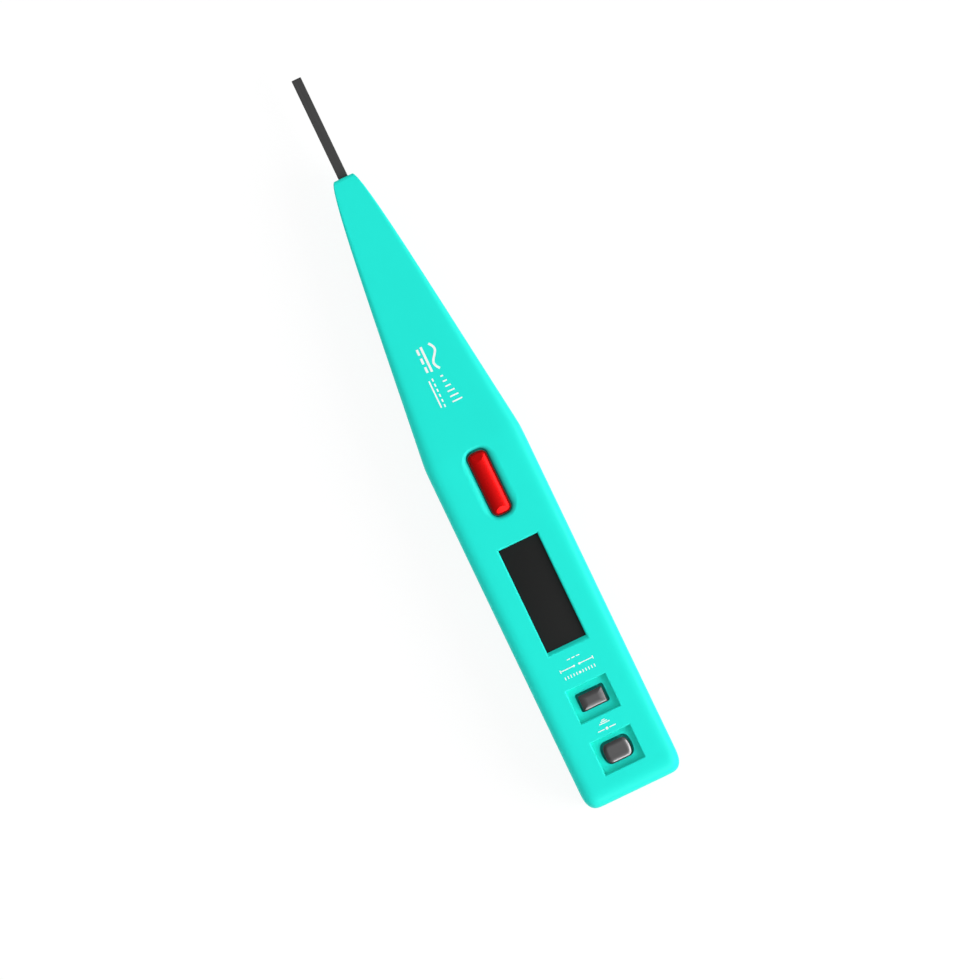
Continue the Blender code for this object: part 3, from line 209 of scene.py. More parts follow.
class PieceForm(PropertyGroup):
    """The sizes of the pieces set in the casing"""

    lens_length: metres("Lens length", "Length of the red lens", 0.01178)
    lens_width: metres("Lens width", "Width of the red lens", 0.00332)
    lens_corner: metres("Lens corner", "Corner radius of the lens", 0.0007)
    lens_end_radius: metres("Lens end radius", "Bend of the lens's outward curved ends", 0.0055)
    lens_slope: degrees("Lens slope", "Steepness of the lens's crown towards its edge", 42.0)
    lens_edge: metres("Lens edge", "Width of the tighter rounding at the lens's edge", 0.00022)
    lens_tail_hip: metres("Lens tail hip", "Length of the crown's flat slope at the tail end", 0.00100)
    lens_tip_hip: metres("Lens tip hip", "Length of the crown's flat slope at the other end", 0.00142)
    button_flange: metres("Button flange", "Thickness of a button's hidden flange", 0.0004)
    inductance_length: metres("Inductance button length", "Along the tester", 0.0026)
    inductance_width: metres("Inductance button width", "Across the tester", 0.00428)
    inductance_corner: metres("Inductance button corner", "Corner radius", 0.0001)
    inductance_facet_x: metres("Inductance facet along", "Sloping facet along the tester", 0.00080)
    inductance_facet_y: metres("Inductance facet across", "Sloping facet across the tester", 0.0011)
    inductance_rise: metres("Inductance button rise", "Height of the facets", 0.00027)
    inductance_fullness: number("Inductance button fullness", "Curve of the facets", 1.7)
    direct_length: metres("Direct button length", "Along the tester", 0.00335)
    direct_width: metres("Direct button width", "Across the tester", 0.00460)
    direct_corner: metres("Direct button corner", "Corner radius", 0.0006)
    direct_side_radius: metres("Direct button side radius", "Bend of its outward curved sides", 0.0047)
    direct_rim: metres("Direct button rim", "Width of the rounded rim", 0.00070)
    direct_rise: metres("Direct button rise", "Height of the rounded rim", 0.00024)
    direct_fullness: number("Direct button fullness", "Curve of the rounded rim", 2.0)
    blade_width: metres("Blade width", "Width of the driver blade", 0.0018)
    blade_thickness: metres("Blade thickness", "Thickness of the blade's shank", 0.0012)
    blade_tip: metres("Blade tip", "Thickness of the blade's end", 0.0006)
    blade_tip_length: metres("Tip length", "Length of the thinned end", 0.0050)
    blade_edge: metres("Blade edge", "Chamfer along the blade's edges", 0.00008)
    cover_width: metres("Cover width", "Width of the battery cover's plate", 0.0100)
    cover_tongue: metres("Cover tongue", "Reach of the cover's tongues", 0.0010)
    cover_gap: metres("Cover gap", "Clearance of the cover in its track", 0.0002)
    cover_recess: metres("Cover recess", "How deep the cover lies in the back", 0.0002)
    cover_plate: metres("Cover plate", "Thickness of the cover", 0.0010)
    cover_lip: metres("Cover lip", "Thickness of the cover's tongues", 0.0005)


class Colours(PropertyGroup):
    """Linear colours of the finishes"""

    casing: colour("Casing", "Turquoise moulded casing", (0.0148, 0.824, 0.696))
    window: colour("Window", "Smoked display window", (0.0162, 0.0165, 0.0163))
    lens: colour("Lens", "Red indicator lens", (0.59, 0.0040, 0.0040))
    button: colour("Button", "Dark plated buttons", (0.102, 0.100, 0.102))
    blade: colour("Blade", "Dark steel blade", (0.055, 0.055, 0.055))
    print: colour("Print", "White pad print", (0.92, 0.95, 0.93))


class Stage(PropertyGroup):
    """The light and the view"""

    view_x: metres("View X", "Where the camera looks along the tester", -0.01070, -1.0)
    view_y: metres("View Y", "Where the camera looks across the tester", 0.00046, -1.0)
    view_size: metres("View size", "Width of the view", 0.17407)
    view_turn: degrees("View turn", "Turn of the view over the tester", 115.61)
    key_elevation: degrees("Key elevation", "Height of the key lamp over the horizon", 30.0)
    key_turn: degrees("Key turn", "Turn of the key lamp from the tail towards the lit side", 53.13)
    key_spread: degrees("Key spread", "Angle from the key lamp's middle to its rim", 21.0)
    key_distance: metres("Key distance", "How far away the key lamp stands", 2.1)
    key_radiance: number("Key radiance", "Brightness of the key lamp's disc", 6.2)
    even_light: number("Even light", "Brightness of the light from all round", 0.60)
    sky_least: number("Sky least", "Brightness that gloss sees away from the key lamp", 0.15)
    sky_focus: number("Sky focus", "How fast that brightness grows towards the key lamp", 1.5)
    tail_gloss_turn: degrees("Tail gloss turn", "Turn of the tail lamp that only gloss sees", 8.0)
    side_gloss_turn: degrees("Side gloss turn", "Turn of the side lamp that only gloss sees", 86.0)
    gloss_elevation: degrees("Gloss elevation", "Height of those two lamps over the horizon", 24.0)
    gloss_spread: degrees("Gloss spread", "Angle from those lamps' middles to their rims", 15.0)
    gloss_radiance: number("Gloss radiance", "Brightness of those lamps' discs", 8.5)


# ---------------------------------------------------------------- meshes


def object_from(bm, name):
    """A scene object from a closed bmesh, with its faces turned outwards."""
    bmesh.ops.recalc_face_normals(bm, faces=bm.faces)
    mesh = bpy.data.meshes.new(name)
    bm.to_mesh(mesh)
    bm.free()
    made = bpy.data.objects.new(name, mesh)
    bpy.context.scene.collection.objects.link(made)
    return made


def add_loft(bm, rings):
    """Adds one closed solid through rings that have the same number of points."""
    rows = [[bm.verts.new(point) for point in ring] for ring in rings]
    count = len(rings[0])
    for low, high in zip(rows, rows[1:]):
        for i in range(count):
            j = (i + 1) % count
            bm.faces.new((low[i], low[j], high[j], high[i]))
    bm.faces.new(rows[0])
    bm.faces.new(rows[-1])


def loft(name, rings):
    """One closed solid through rings."""
    bm = bmesh.new()
    add_loft(bm, rings)
    return object_from(bm, name)


def box(name, low, high):
    """A block between two corners."""
    outline = [(low[0], low[1]), (high[0], low[1]), (high[0], high[1]), (low[0], high[1])]
    return loft(name, [[(x, y, z) for x, y in outline] for z in (low[2], high[2])])


def block(name, centre_x, length, width, low, high):
    """A block on the tester's middle line."""
    return box(name, (centre_x - length / 2, -width / 2, low), (centre_x + length / 2, width / 2, high))


def rounded_rectangle(centre, length, width, radius, height, curves=(0.0, 0.0), steps=6):
    """The points of a level rectangle with round corners; curves bends its ends and its sides outwards."""
    radius = min(radius, length / 2 - 1e-5, width / 2 - 1e-5)
    half = Vector((length / 2, width / 2))
    inner = half - Vector((radius, radius))
    points = []
    for quarter, (side_x, side_y) in enumerate(CORNERS):
        corner = Vector((side_x * inner.x, side_y * inner.y))
        for step in range(steps + 1):
            angle = math.pi / 2 * (quarter + step / steps)
            points.append(corner + radius * Vector((math.cos(angle), math.sin(angle))))
        next_x, next_y = CORNERS[(quarter + 1) % 4]
        run_end = Vector((next_x * inner.x, next_y * inner.y)) + (points[-1] - corner)
        points += [points[-1].lerp(run_end, share / steps) for share in range(1, steps)]
    placed = []
    for x, y in points:
        bent_x = x * (1 - curves[0] * y**2 / 2 / half.x)
        bent_y = y * (1 - curves[1] * x**2 / 2 / half.y)
        placed.append((centre[0] + bent_x, centre[1] + bent_y, height))
    return placed


def stack(name, centre, levels, curves=(0.0, 0.0), steps=6):
    """A solid through rounded rectangles: each level is (height, length, width, corner radius)."""
    rings = [
        rounded_rectangle(centre, length, width, corner, height, curves, steps)
        for height, length, width, corner in levels
    ]
    return loft(name, rings)


def turned(name, profile, centre, sides=48):
    """A turned solid on an upright axis: profile holds (height, radius) between two flat ends."""
    rings = []
    for height, radius in profile:
        ring = []
        for side in range(sides):
            angle = 2 * math.pi * side / sides
            x, y = radius * math.cos(angle), radius * math.sin(angle)
            ring.append((centre[0] + x, centre[1] + y, centre[2] + height))
        rings.append(ring)
    return loft(name, rings)


def quarter_steps(count):
    """The angles of a quarter turn, from 0 to 90 degrees."""
    return [math.pi / 2 * step / count for step in range(count + 1)]


def shape(piece, *tools):
    """Applies (operation, tool) pairs to a piece in turn and removes the tools."""
    for number, (operation, tool) in enumerate(tools):
        modifier = piece.modifiers.new(f"{number}_{operation.lower()}", "BOOLEAN")
        modifier.operation = operation
        modifier.solver = "EXACT"
        modifier.object = tool
    settle(piece)
    for _, tool in tools:
        bpy.data.objects.remove(tool)
    if not piece.data.polygons:
        raise RuntimeError(f"{piece.name} was cut away to nothing")
    return piece


def settle(piece):
    """Applies a piece's modifiers, drops stray slivers and shades it smooth up to its folds."""
    graph = bpy.context.evaluated_depsgraph_get()
    graph.update()
    mesh = bpy.data.meshes.new_from_object(piece.evaluated_get(graph))
    piece.modifiers.clear()
    bm = bmesh.new()
    bm.from_mesh(mesh)
    bmesh.ops.remove_doubles(bm, verts=bm.verts, dist=1e-6)
    bm.to_mesh(mesh)
    bm.free()
    piece.data = mesh
    mesh.shade_smooth()
    mesh.set_sharp_from_angle(angle=SHARP_ANGLE)
    return piece


def weigh_normals(piece):
    """Lets the large flats set the shading where a rounding runs into them."""
    modifier = piece.modifiers.new("weighted_normals", "WEIGHTED_NORMAL")
    modifier.keep_sharp = True
    modifier.weight = 80


def dress(piece, body, slot, material, *nodes):
    """Rides a piece on a body, gives it its finish and lets it stand for CAD nodes."""
    piece.data.materials.clear()
    piece.data.materials.append(material)
    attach(piece, body)
    if nodes:
        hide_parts(*nodes)


# ---------------------------------------------------------------- casing form


def fall(distance, reach, depth, power):
    """How far a rounded edge has fallen, at a distance from the end of its reach."""
    if distance >= reach:
        return 0.0
    share = (reach - max(distance, 0.0)) / reach
    return depth * (1 - (1 - share**power) ** (1 / power))


def soft_least(first, second, blend):
    """The smaller of two values, with their crossing rounded over."""
    return (first + second - math.sqrt((first - second) ** 2 + blend**2)) / 2


def nose_curve(form, share):
    """(place from tail, half width) on the nose's side, from the shoulder to the end face."""
    shoulder = Vector((form.shoulder, BODY_WIDTH / 2))
    taper = shoulder + Vector((form.taper_handle, -form.taper_slope * form.taper_handle))
    face = Vector((BODY_LENGTH, form.nose_width / 2))
    corner = face + Vector((0.0, form.nose_handle))
    rest = 1 - share
    start = rest**3 * shoulder + 3 * rest**2 * share * taper
    return start + 3 * rest * share**2 * corner + share**3 * face


def nose_half_width(form, along):
    """Half the nose's width at a place, carried on straight behind the shoulder."""
    if along <= form.shoulder:
        return BODY_WIDTH / 2 + form.taper_slope * (form.shoulder - along)
    low, high = 0.0, 1.0
    for _ in range(36):
        middle = (low + high) / 2
        if nose_curve(form, middle).x < along:
            low = middle
        else:
            high = middle
    return nose_curve(form, high).y


def half_width(form, along, inset):
    """Half the casing's width at a place, taken in by an inset."""
    width = soft_least(BODY_WIDTH / 2, nose_half_width(form, along), form.shoulder_blend)
    reach = form.tail_corner_length - inset / 2
    depth = form.tail_corner_width - inset / 2
    return width - inset - fall(along - inset, reach, depth, form.corner_power)


def half_depth(form, along, inset):
    """Half the casing's depth at a place, taken in by an inset."""
    full = (FACE - BACK) / 2
    slope = (full - form.nose_depth / 2) / (BODY_LENGTH - form.shoulder)
    depth = soft_least(full, full - slope * (along - form.shoulder), form.shoulder_blend) - inset
    reach = form.tail_edge_length - inset / 2
    tail = fall(along - inset, reach, form.tail_edge_depth - inset / 2, form.tail_power)
    return depth - tail - fall(BODY_LENGTH - along, form.nose_edge, form.nose_edge, 2.0)


def side_edge(form, along, inset):
    """(width, depth) of the rounding between the side and the face at a place."""
    width = half_width(form, along, inset)
    full = Vector((form.side_edge_width, form.side_edge_depth))
    if along > form.shoulder:
        edge = full * ((width + inset) / (BODY_WIDTH / 2)) ** 1.6
    else:
        fallen = min((BODY_WIDTH / 2 - inset - width) / form.tail_corner_width, 1.0)
        edge = full.lerp(Vector((form.tail_side_edge, form.tail_side_edge)), fallen)
    return [max(size - inset / 2, size / 4) for size in edge]


def cross_section(form, along, inset, start, seam_edge):
    """(y, height over the parting plane) from one side, over the face, to the other."""
    width, top = half_width(form, along, inset), half_depth(form, along, inset)
    reach, drop = side_edge(form, along, inset)
    side = [(width - seam_edge, start), (width, start + seam_edge)] if seam_edge else [(width, start)]
    for angle in quarter_steps(form.edge_steps):
        across = reach * (1 - abs(math.cos(angle)) ** (2 / form.edge_power))
        down = drop * (1 - math.sin(angle) ** (2 / form.edge_power))
        side.append((width - across, top - down))
    return side + [(-y, height) for y, height in reversed(side)]


def stations(form, inset, end):
    """The places from the tail where the casing has a ring."""
    reach = form.tail_corner_length - inset / 2
    places = [
        inset + reach * (1 - abs(math.cos(angle)) ** (2 / form.corner_power))
        for angle in quarter_steps(form.tail_steps)
    ]
    spread = (-2.4, -1.2, -0.6, -0.3, 0.0, 0.3, 0.6, 1.2, 2.4)
    places += [form.shoulder + offset * 1e-3 for offset in spread]
    places += [nose_curve(form, step / form.nose_steps).x for step in range(1, form.nose_steps + 1)]
    kept = sorted(place for place in places if place < end - 2e-5)
    spaced = [kept[0]]
    for place in kept[1:]:
        if place - spaced[-1] > 1e-5:
            spaced.append(place)
    return [*spaced, end]


def shell_half(name, form, side, inset, start, end, seam_edge=0.0):
    """The front (side 1) or back (side -1) of the casing's form as a closed solid."""
    rings = []
    for place in stations(form, inset, end):
        points = cross_section(form, place, inset, start, seam_edge)
        rings.append([(TAIL + place, y, PARTING + side * height) for y, height in points])
    return loft(name, rings)


def outline_slab(name, form, inset, low, high, end):
    """A level slab with the casing's outline."""
    left = [(TAIL + place, half_width(form, place, inset)) for place in stations(form, inset, end)]
    outline = left + [(x, -y) for x, y in reversed(left)]
    return loft(name, [[(x, y, z) for x, y in outline] for z in (low, high)])


def face_height(form, x):
    """The height of the front face on the middle line."""
    return PARTING + half_depth(form, from_tail(x), 0.0)


# ---------------------------------------------------------------- openings


def cavity_end(form):
    """The end of the casing's hollow, measured from the tail."""
    return BODY_LENGTH - form.nose_solid


def blade_channel(name, form, pieces):
    """The slot through the solid nose."""
    play = 0.00015
    half_slot = pieces.blade_width / 2 + play
    half_rise = pieces.blade_thickness / 2 + play
    low = (TAIL + cavity_end(form) - OVERRUN, -half_slot, PARTING - half_rise)
    return box(name, low, (TAIL + BODY_LENGTH + OVERRUN, half_slot, PARTING + half_rise))


def well_cutter(name, openings, centre):
    """A well with round corners, a rounded foot and a rolled rim."""
    length, width, lip = openings.well_length, openings.well_width, openings.well_lip
    foot, corner = openings.well_foot, openings.well_corner
    floor = FACE - openings.well_depth
    levels = []
    for angle in quarter_steps(4):
        inset = 2 * foot * (1 - math.sin(angle))
        levels.append((floor + foot * (1 - math.cos(angle)), length - inset, width - inset, corner))
    for angle in quarter_steps(8):
        spread = 2 * lip * (1 - math.cos(angle))
        height = FACE - lip * (1 - math.sin(angle))
        levels.append((height, length + spread, width + spread, corner + spread / 4))
    levels.append((FACE + OVERRUN, *levels[-1][1:]))
    return stack(name, centre, levels)


def slope_profile(reach, depth, straight, steps):
    """(run out from the edge, depth under the face) up a straight slope that then eases into the face."""
    easing = reach - straight
    steepest = depth / (straight + easing / 2)
    profile = [(0.0, depth), (straight, depth - straight * steepest)]
    for step in range(1, steps + 1):
        left = 1 - step / steps
        profile.append((straight + easing * (1 - left), easing * steepest * left**2 / 2))
    return profile


def window_cutter(name, openings, centre):
    """The display opening: a rolled lip on three sides and a longer slope on the tail side."""
    deep, lip_reach = openings.window_recess, openings.window_lip
    slope = slope_profile(openings.window_ramp, deep, openings.window_ramp * 0.35, 8)
    levels = [(FACE - deep - 2 * OVERRUN, 0.0, 0.0)]
    for ramp, down in slope:
        share = max(0.0, 1 - down / lip_reach)
        levels.append((FACE - down, ramp, lip_reach * (1 - math.sqrt(1 - share**2))))
    levels.append((FACE + OVERRUN, *levels[-1][1:]))
    rings = []
    for height, ramp, lip in levels:
        nose_side = centre[0] + openings.window_length / 2 + lip
        tail_side = centre[0] - openings.window_length / 2 - ramp
        half = openings.window_width / 2 + lip
        outline = ((nose_side, half), (tail_side, half), (tail_side, -half), (nose_side, -half))
        rings.append([(x, y, height) for x, y in outline])
    return loft(name, rings)


def rolled_rim(reach, steepest, steps):
    """(depth under the face, reach out from the opening) where the face rolls into an opening."""
    bend, quarter = 2.2, math.radians(90)
    last = (1 - steepest / quarter) ** bend
    rim = [(0.0, reach)]
    for step in range(1, steps + 1):
        tilt = steepest * step / steps
        spread = reach * ((1 - tilt / quarter) ** bend - last) / (1 - last)
        drop = (rim[-1][1] - spread) * math.tan(tilt - steepest / steps / 2)
        rim.append((rim[-1][0] + drop, spread))
    return rim


def slot_cutters(name, openings, pieces, centre):
    """The lens slot in two steps: a close fit, and a groove with a rim that rolls in from the face."""
    fit = openings.fit
    close = (pieces.lens_length + 2 * fit, pieces.lens_width + 2 * fit, pieces.lens_corner + fit)
    length = pieces.lens_length + openings.slot_tail_gap + openings.slot_tip_gap
    width = pieces.lens_width + 2 * openings.slot_side_gap
    corner = pieces.lens_corner + openings.slot_side_gap
    rim = rolled_rim(openings.slot_roll, math.radians(56), 14)
    end_share = openings.slot_end_roll / openings.slot_roll
    levels = [(FACE - openings.slot_ledge, length, width, corner)]
    for down, spread in reversed(rim):
        levels.append((FACE - down, length + 2 * spread * end_share, width + 2 * spread, corner + spread))
    levels.append((FACE + OVERRUN, *levels[-1][1:]))
    middle = (centre[0] + (openings.slot_tip_gap - openings.slot_tail_gap) / 2, centre[1])
    curves = (1 / pieces.lens_end_radius, 0.0)
    groove = stack(name, middle, levels, curves, steps=8)
    under_wall = FACE - 0.003
    through = stack(f"{name}_fit", centre, [(under_wall, *close), (FACE, *close)], curves, steps=8)
    return through, groove


def hole_cutters(openings, button):
    """A button's hole in two steps: a close fit low in the pad, and a wider groove above it."""
    floor = FACE - openings.well_depth
    made = []
    for name, tail_gap, tip_gap, side_gap, low in (
        ("hole", openings.fit, openings.fit, openings.fit, floor - openings.pad - OVERRUN),
        (
            "groove",
            openings.groove_tail_gap,
            openings.groove_tip_gap,
            openings.groove_side_gap,
            floor - openings.groove_depth,
        ),
    ):
        centre = (button.centre.x + (tip_gap - tail_gap) / 2, button.centre.y)
        outline = (
            button.length + tail_gap + tip_gap,
            button.width + 2 * side_gap,
            button.corner + side_gap / 2,
        )
        made.append(stack(name, centre, [(low, *outline), (FACE, *outline)], (0.0, button.curve)))
    return made


class Button:
    """The outline and the sloping facets of a touch button"""

    def __init__(self, name, length, width, corner, curve, facet_x, facet_y, rise, fullness):
        self.name = name
        self.node = f"{name}_button"
        self.centre = middle_of(self.node)
        self.length, self.width = length, width
        self.corner, self.curve = corner, curve
        self.facet_x, self.facet_y = facet_x, facet_y
        self.rise, self.fullness = rise, fullness


def both_buttons(pieces):
    inductance = Button(
        "inductance",
        pieces.inductance_length,
        pieces.inductance_width,
        pieces.inductance_corner,
        0.0,
        pieces.inductance_facet_x,
        pieces.inductance_facet_y,
        pieces.inductance_rise,
        pieces.inductance_fullness,
    )
    direct = Button(
        "direct",
        pieces.direct_length,
        pieces.direct_width,
        pieces.direct_corner,
        1 / pieces.direct_side_radius,
        pieces.direct_rim,
        pieces.direct_rim,
        pieces.direct_rise,
        pieces.direct_fullness,
    )
    return inductance, direct


# ---------------------------------------------------------------- finishes


class Finish:
    """A Principled material under construction, whose textures lie in the object's own metres."""

    def __init__(self, name, base, roughness, metallic=0.0, **sockets):
        self.material = bpy.data.materials.new(name)
        self.material.use_nodes = True
        self.material.diffuse_color = (*base, 1.0)
        self.tree = self.material.node_tree
        self.shader = self.tree.nodes["Principled BSDF"]
        self.base = base
        self.roughness = roughness
        self.shader.inputs["Base Color"].default_value = (*base, 1.0)
        self.shader.inputs["Roughness"].default_value = roughness
        self.shader.inputs["Metallic"].default_value = metallic
        for label, value in sockets.items():
            self.shader.inputs[label.replace("_", " ")].default_value = value

    def add(self, kind, **inputs):
        """A node with values set on its named inputs."""
        node = self.tree.nodes.new(kind)
        for label, value in inputs.items():
            node.inputs[label].default_value = value
        return node

    def link(self, source, target):
        self.tree.links.new(source, target)

    def noise(self, scale, detail=3.0, stretch=(1.0, 1.0, 1.0)):
        """A noise pattern's strength; scale counts its cells per metre."""
        place = self.add("ShaderNodeTexCoord")
        mapping = self.add("ShaderNodeMapping", Scale=stretch)
        noise = self.add("ShaderNodeTexNoise", Scale=scale, Detail=detail)
        self.link(place.outputs["Object"], mapping.inputs["Vector"])
        self.link(mapping.outputs["Vector"], noise.inputs["Vector"])
        return noise.outputs["Fac"]

    def ramp(self, strength, low, high, start=0.3, end=0.7):
        """A strength spread between two values."""
        spread = self.add("ShaderNodeMapRange")
        self.link(strength, spread.inputs["Value"])
        for label, value in (("From Min", start), ("From Max", end), ("To Min", low), ("To Max", high)):
            spread.inputs[label].default_value = value
        return spread.outputs["Result"]

    def mottle(self, scale, share, detail=3.0, stretch=(1.0, 1.0, 1.0)):
        """Lets the colour drift a share lighter and darker."""
        mix = self.add("ShaderNodeMix")
        mix.data_type = "RGBA"
        lighter = [min(part * (1 + share), 1.0) for part in self.base]
        darker = [part * (1 - share) for part in self.base]
        mix.inputs[6].default_value = (*darker, 1.0)
        mix.inputs[7].default_value = (*lighter, 1.0)
        self.link(self.ramp(self.noise(scale, detail, stretch), 0.0, 1.0), mix.inputs[0])
        self.link(mix.outputs[2], self.shader.inputs["Base Color"])
        return self

    def shade(self, attribute, share):
        """Paints shade: darkens the colour to a share on the faces that an attribute marks."""
        mark = self.add("ShaderNodeAttribute")
        mark.attribute_name = attribute
        colour_input = self.shader.inputs["Base Color"]
        mix = self.add("ShaderNodeMix")
        mix.data_type = "RGBA"
        mix.inputs[7].default_value = (*(part * share for part in self.base), 1.0)
        self.link(colour_input.links[0].from_socket, mix.inputs[6])
        self.link(mark.outputs["Fac"], mix.inputs[0])
        self.link(mix.outputs[2], colour_input)
        return self

    def polish(self, scale, spread, detail=3.0, stretch=(1.0, 1.0, 1.0)):
        """Lets the roughness drift up and down."""
        strength = self.noise(scale, detail, stretch)
        drifting = self.ramp(strength, self.roughness - spread, self.roughness + spread)
        self.link(drifting, self.shader.inputs["Roughness"])
        return self

    def grain(self, scale, height, detail=3.0, stretch=(1.0, 1.0, 1.0)):
        """Gives the surface a fine relief of a real height."""
        bump = self.add("ShaderNodeBump", Strength=1.0, Distance=height)
        self.link(self.noise(scale, detail, stretch), bump.inputs["Height"])
        self.link(bump.outputs["Normal"], self.shader.inputs["Normal"])
        return self


def casing_plastic(context):
    """Satin moulded plastic with a fine spark-eroded grain, and painted shade in the grooves round the
    buttons and the lens.
    """
    base = tuple(context.scene.tester_colours.casing)
    made = Finish("turquoise_plastic", base, 0.50, Specular_IOR_Level=0.10)
    # painted shade darkens the colour on the groove faces that the attribute marks
    made.mottle(45.0, 0.012).shade(PAINTED_SHADE_MARK, 0.16)
    return made.polish(260.0, 0.05).grain(9000.0, 0.000004).material


def window_plastic(context):
    """Smoked window: glossy, with faint wiping marks."""
    base = tuple(context.scene.tester_colours.window)
    made = Finish("smoked_window", base, 0.30, Specular_IOR_Level=0.05)
    return made.mottle(70.0, 0.012).polish(500.0, 0.02, stretch=(0.2, 1.0, 1.0)).material


def lens_plastic(context):
    """Deep red tinted lens."""
    base = tuple(context.scene.tester_colours.lens)
    made = Finish("red_lens", base, 0.29, metallic=0.42, Specular_IOR_Level=0.05)
    return made.mottle(160.0, 0.04).polish(400.0, 0.03).material


def button_metal(context):
    """Dark plated metal with a fine drawn grain."""
    made = Finish("dark_plating", tuple(context.scene.tester_colours.button), 0.31, metallic=1.0)
    return made.mottle(900.0, 0.04, stretch=(1.0, 0.15, 1.0)).polish(1500.0, 0.03).material


def blade_steel(context):
    """Dark oxidised steel, drawn along the blade."""
    made = Finish("dark_steel", tuple(context.scene.tester_colours.blade), 0.42, metallic=1.0)
    drawn = (0.05, 1.0, 1.0)
    return made.mottle(2600.0, 0.07, stretch=drawn).polish(1800.0, 0.06, stretch=drawn).material


def print_ink(context):
    """Opaque white pad-print ink."""
    made = Finish("white_ink", tuple(context.scene.tester_colours.print), 0.55, Specular_IOR_Level=0.2)
    return made.mottle(1500.0, 0.02).material


def screw_steel():
    """Zinc-plated screw steel."""
    made = Finish("zinc_plate", (0.50, 0.51, 0.53), 0.34, metallic=1.0)
    return made.mottle(1200.0, 0.08).polish(900.0, 0.07).material


def cell_steel():
    """Bright nickel-plated cell can, drawn round by fine handling marks."""
    made = Finish("nickel_can", (0.66, 0.66, 0.64), 0.26, metallic=1.0)
    return made.mottle(300.0, 0.04).polish(800.0, 0.08, stretch=(1.0, 0.1, 1.0)).material


def spring_steel():
    """Plain spring wire with faint drawing marks."""
    made = Finish("spring_wire", (0.60, 0.60, 0.61), 0.28, metallic=1.0)
    return made.mottle(900.0, 0.05).polish(1500.0, 0.08).material


def inner_finishes():
    """The finishes of the pieces inside, by material slot."""
    board = Finish("board_mask", (0.015, 0.13, 0.045), 0.38).mottle(420.0, 0.22, 1.0, (1.0, 0.12, 1.0))
    brass = Finish("strip_brass", (0.72, 0.50, 0.20), 0.30, 1.0).mottle(350.0, 0.05).polish(900.0, 0.06)
    return {
        "board": board.polish(500.0, 0.05).material,
        "contact": brass.material,
        "spring": spring_steel(),
        "lcd": Finish("display_glass", (0.30, 0.34, 0.30), 0.12).mottle(60.0, 0.03).material,
        "white": Finish("natural_moulding", (0.76, 0.76, 0.72), 0.50).mottle(90.0, 0.03).material,
        "rubber": Finish("contact_rubber", (0.05, 0.05, 0.05), 0.80).mottle(3000.0, 0.3).material,
        "lamp": Finish("lamp_resin", (0.75, 0.10, 0.08), 0.18).mottle(250.0, 0.05).material,
        "chip": Finish("chip_resin", (0.016, 0.016, 0.017), 0.62).mottle(2500.0, 0.25).material,
        "resistor": Finish("resistor_lacquer", (0.56, 0.42, 0.24), 0.46).mottle(600.0, 0.10).material,
    }


# ---------------------------------------------------------------- pieces


def front_bosses(form):
    """The bosses that the casing screws bite into, each with its pilot hole."""
    radius, pilot, play = 0.00175, 0.00095, 0.0002
    tools = []
    for side in SIDES:
        node = f"casing_screw_{side}"
        foot, screw_end = foot_of(node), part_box(node)[1].z
        top = PARTING + half_depth(form, from_tail(foot[0]), form.wall) + FUSE
        boss = turned("boss", ((FRONT_LOW.z, radius), (top, radius)), foot)
        bore = turned("pilot", ((PARTING - OVERRUN, pilot), (screw_end + play, pilot)), foot)
        tools += [("UNION", boss), ("DIFFERENCE", bore)]
    return tools


def paint_groove_shade(shell, openings, pieces):
    """Paints shade into the grooves round the buttons and the lens, by marking how dark each of the shell's
    faces there is painted.
    """
    lens, buttons = middle_of("indicator_lens"), both_buttons(pieces)
    slot_along = pieces.lens_length / 2 + openings.slot_end_roll
    slot_across = pieces.lens_width / 2 + openings.slot_roll
    # The painted shade starts a little under the face and fades in over a depth
    lit_depth, fading, under_floor, end_margin = 0.0002, 0.0010, 0.00002, 0.0001
    marks = shell.data.attributes.new(PAINTED_SHADE_MARK, "FLOAT", "FACE")
    for face, mark in zip(shell.data.polygons, marks.data):
        x, y, z = face.center
        down, across = FACE - z, abs(y)
        if abs(x - lens.x) < slot_along and across < slot_across:
            mark.value = openings.slot_shade * within((down - lit_depth) / fading)
        for button in buttons:
            along = abs(x - button.centre.x)
            in_well = along < openings.well_length / 2 and across < openings.well_width / 2
            if in_well and down > openings.well_depth + under_floor:
                at_end = across > button.width / 2 - end_margin
                mark.value = 1.0 if at_end else openings.groove_shade


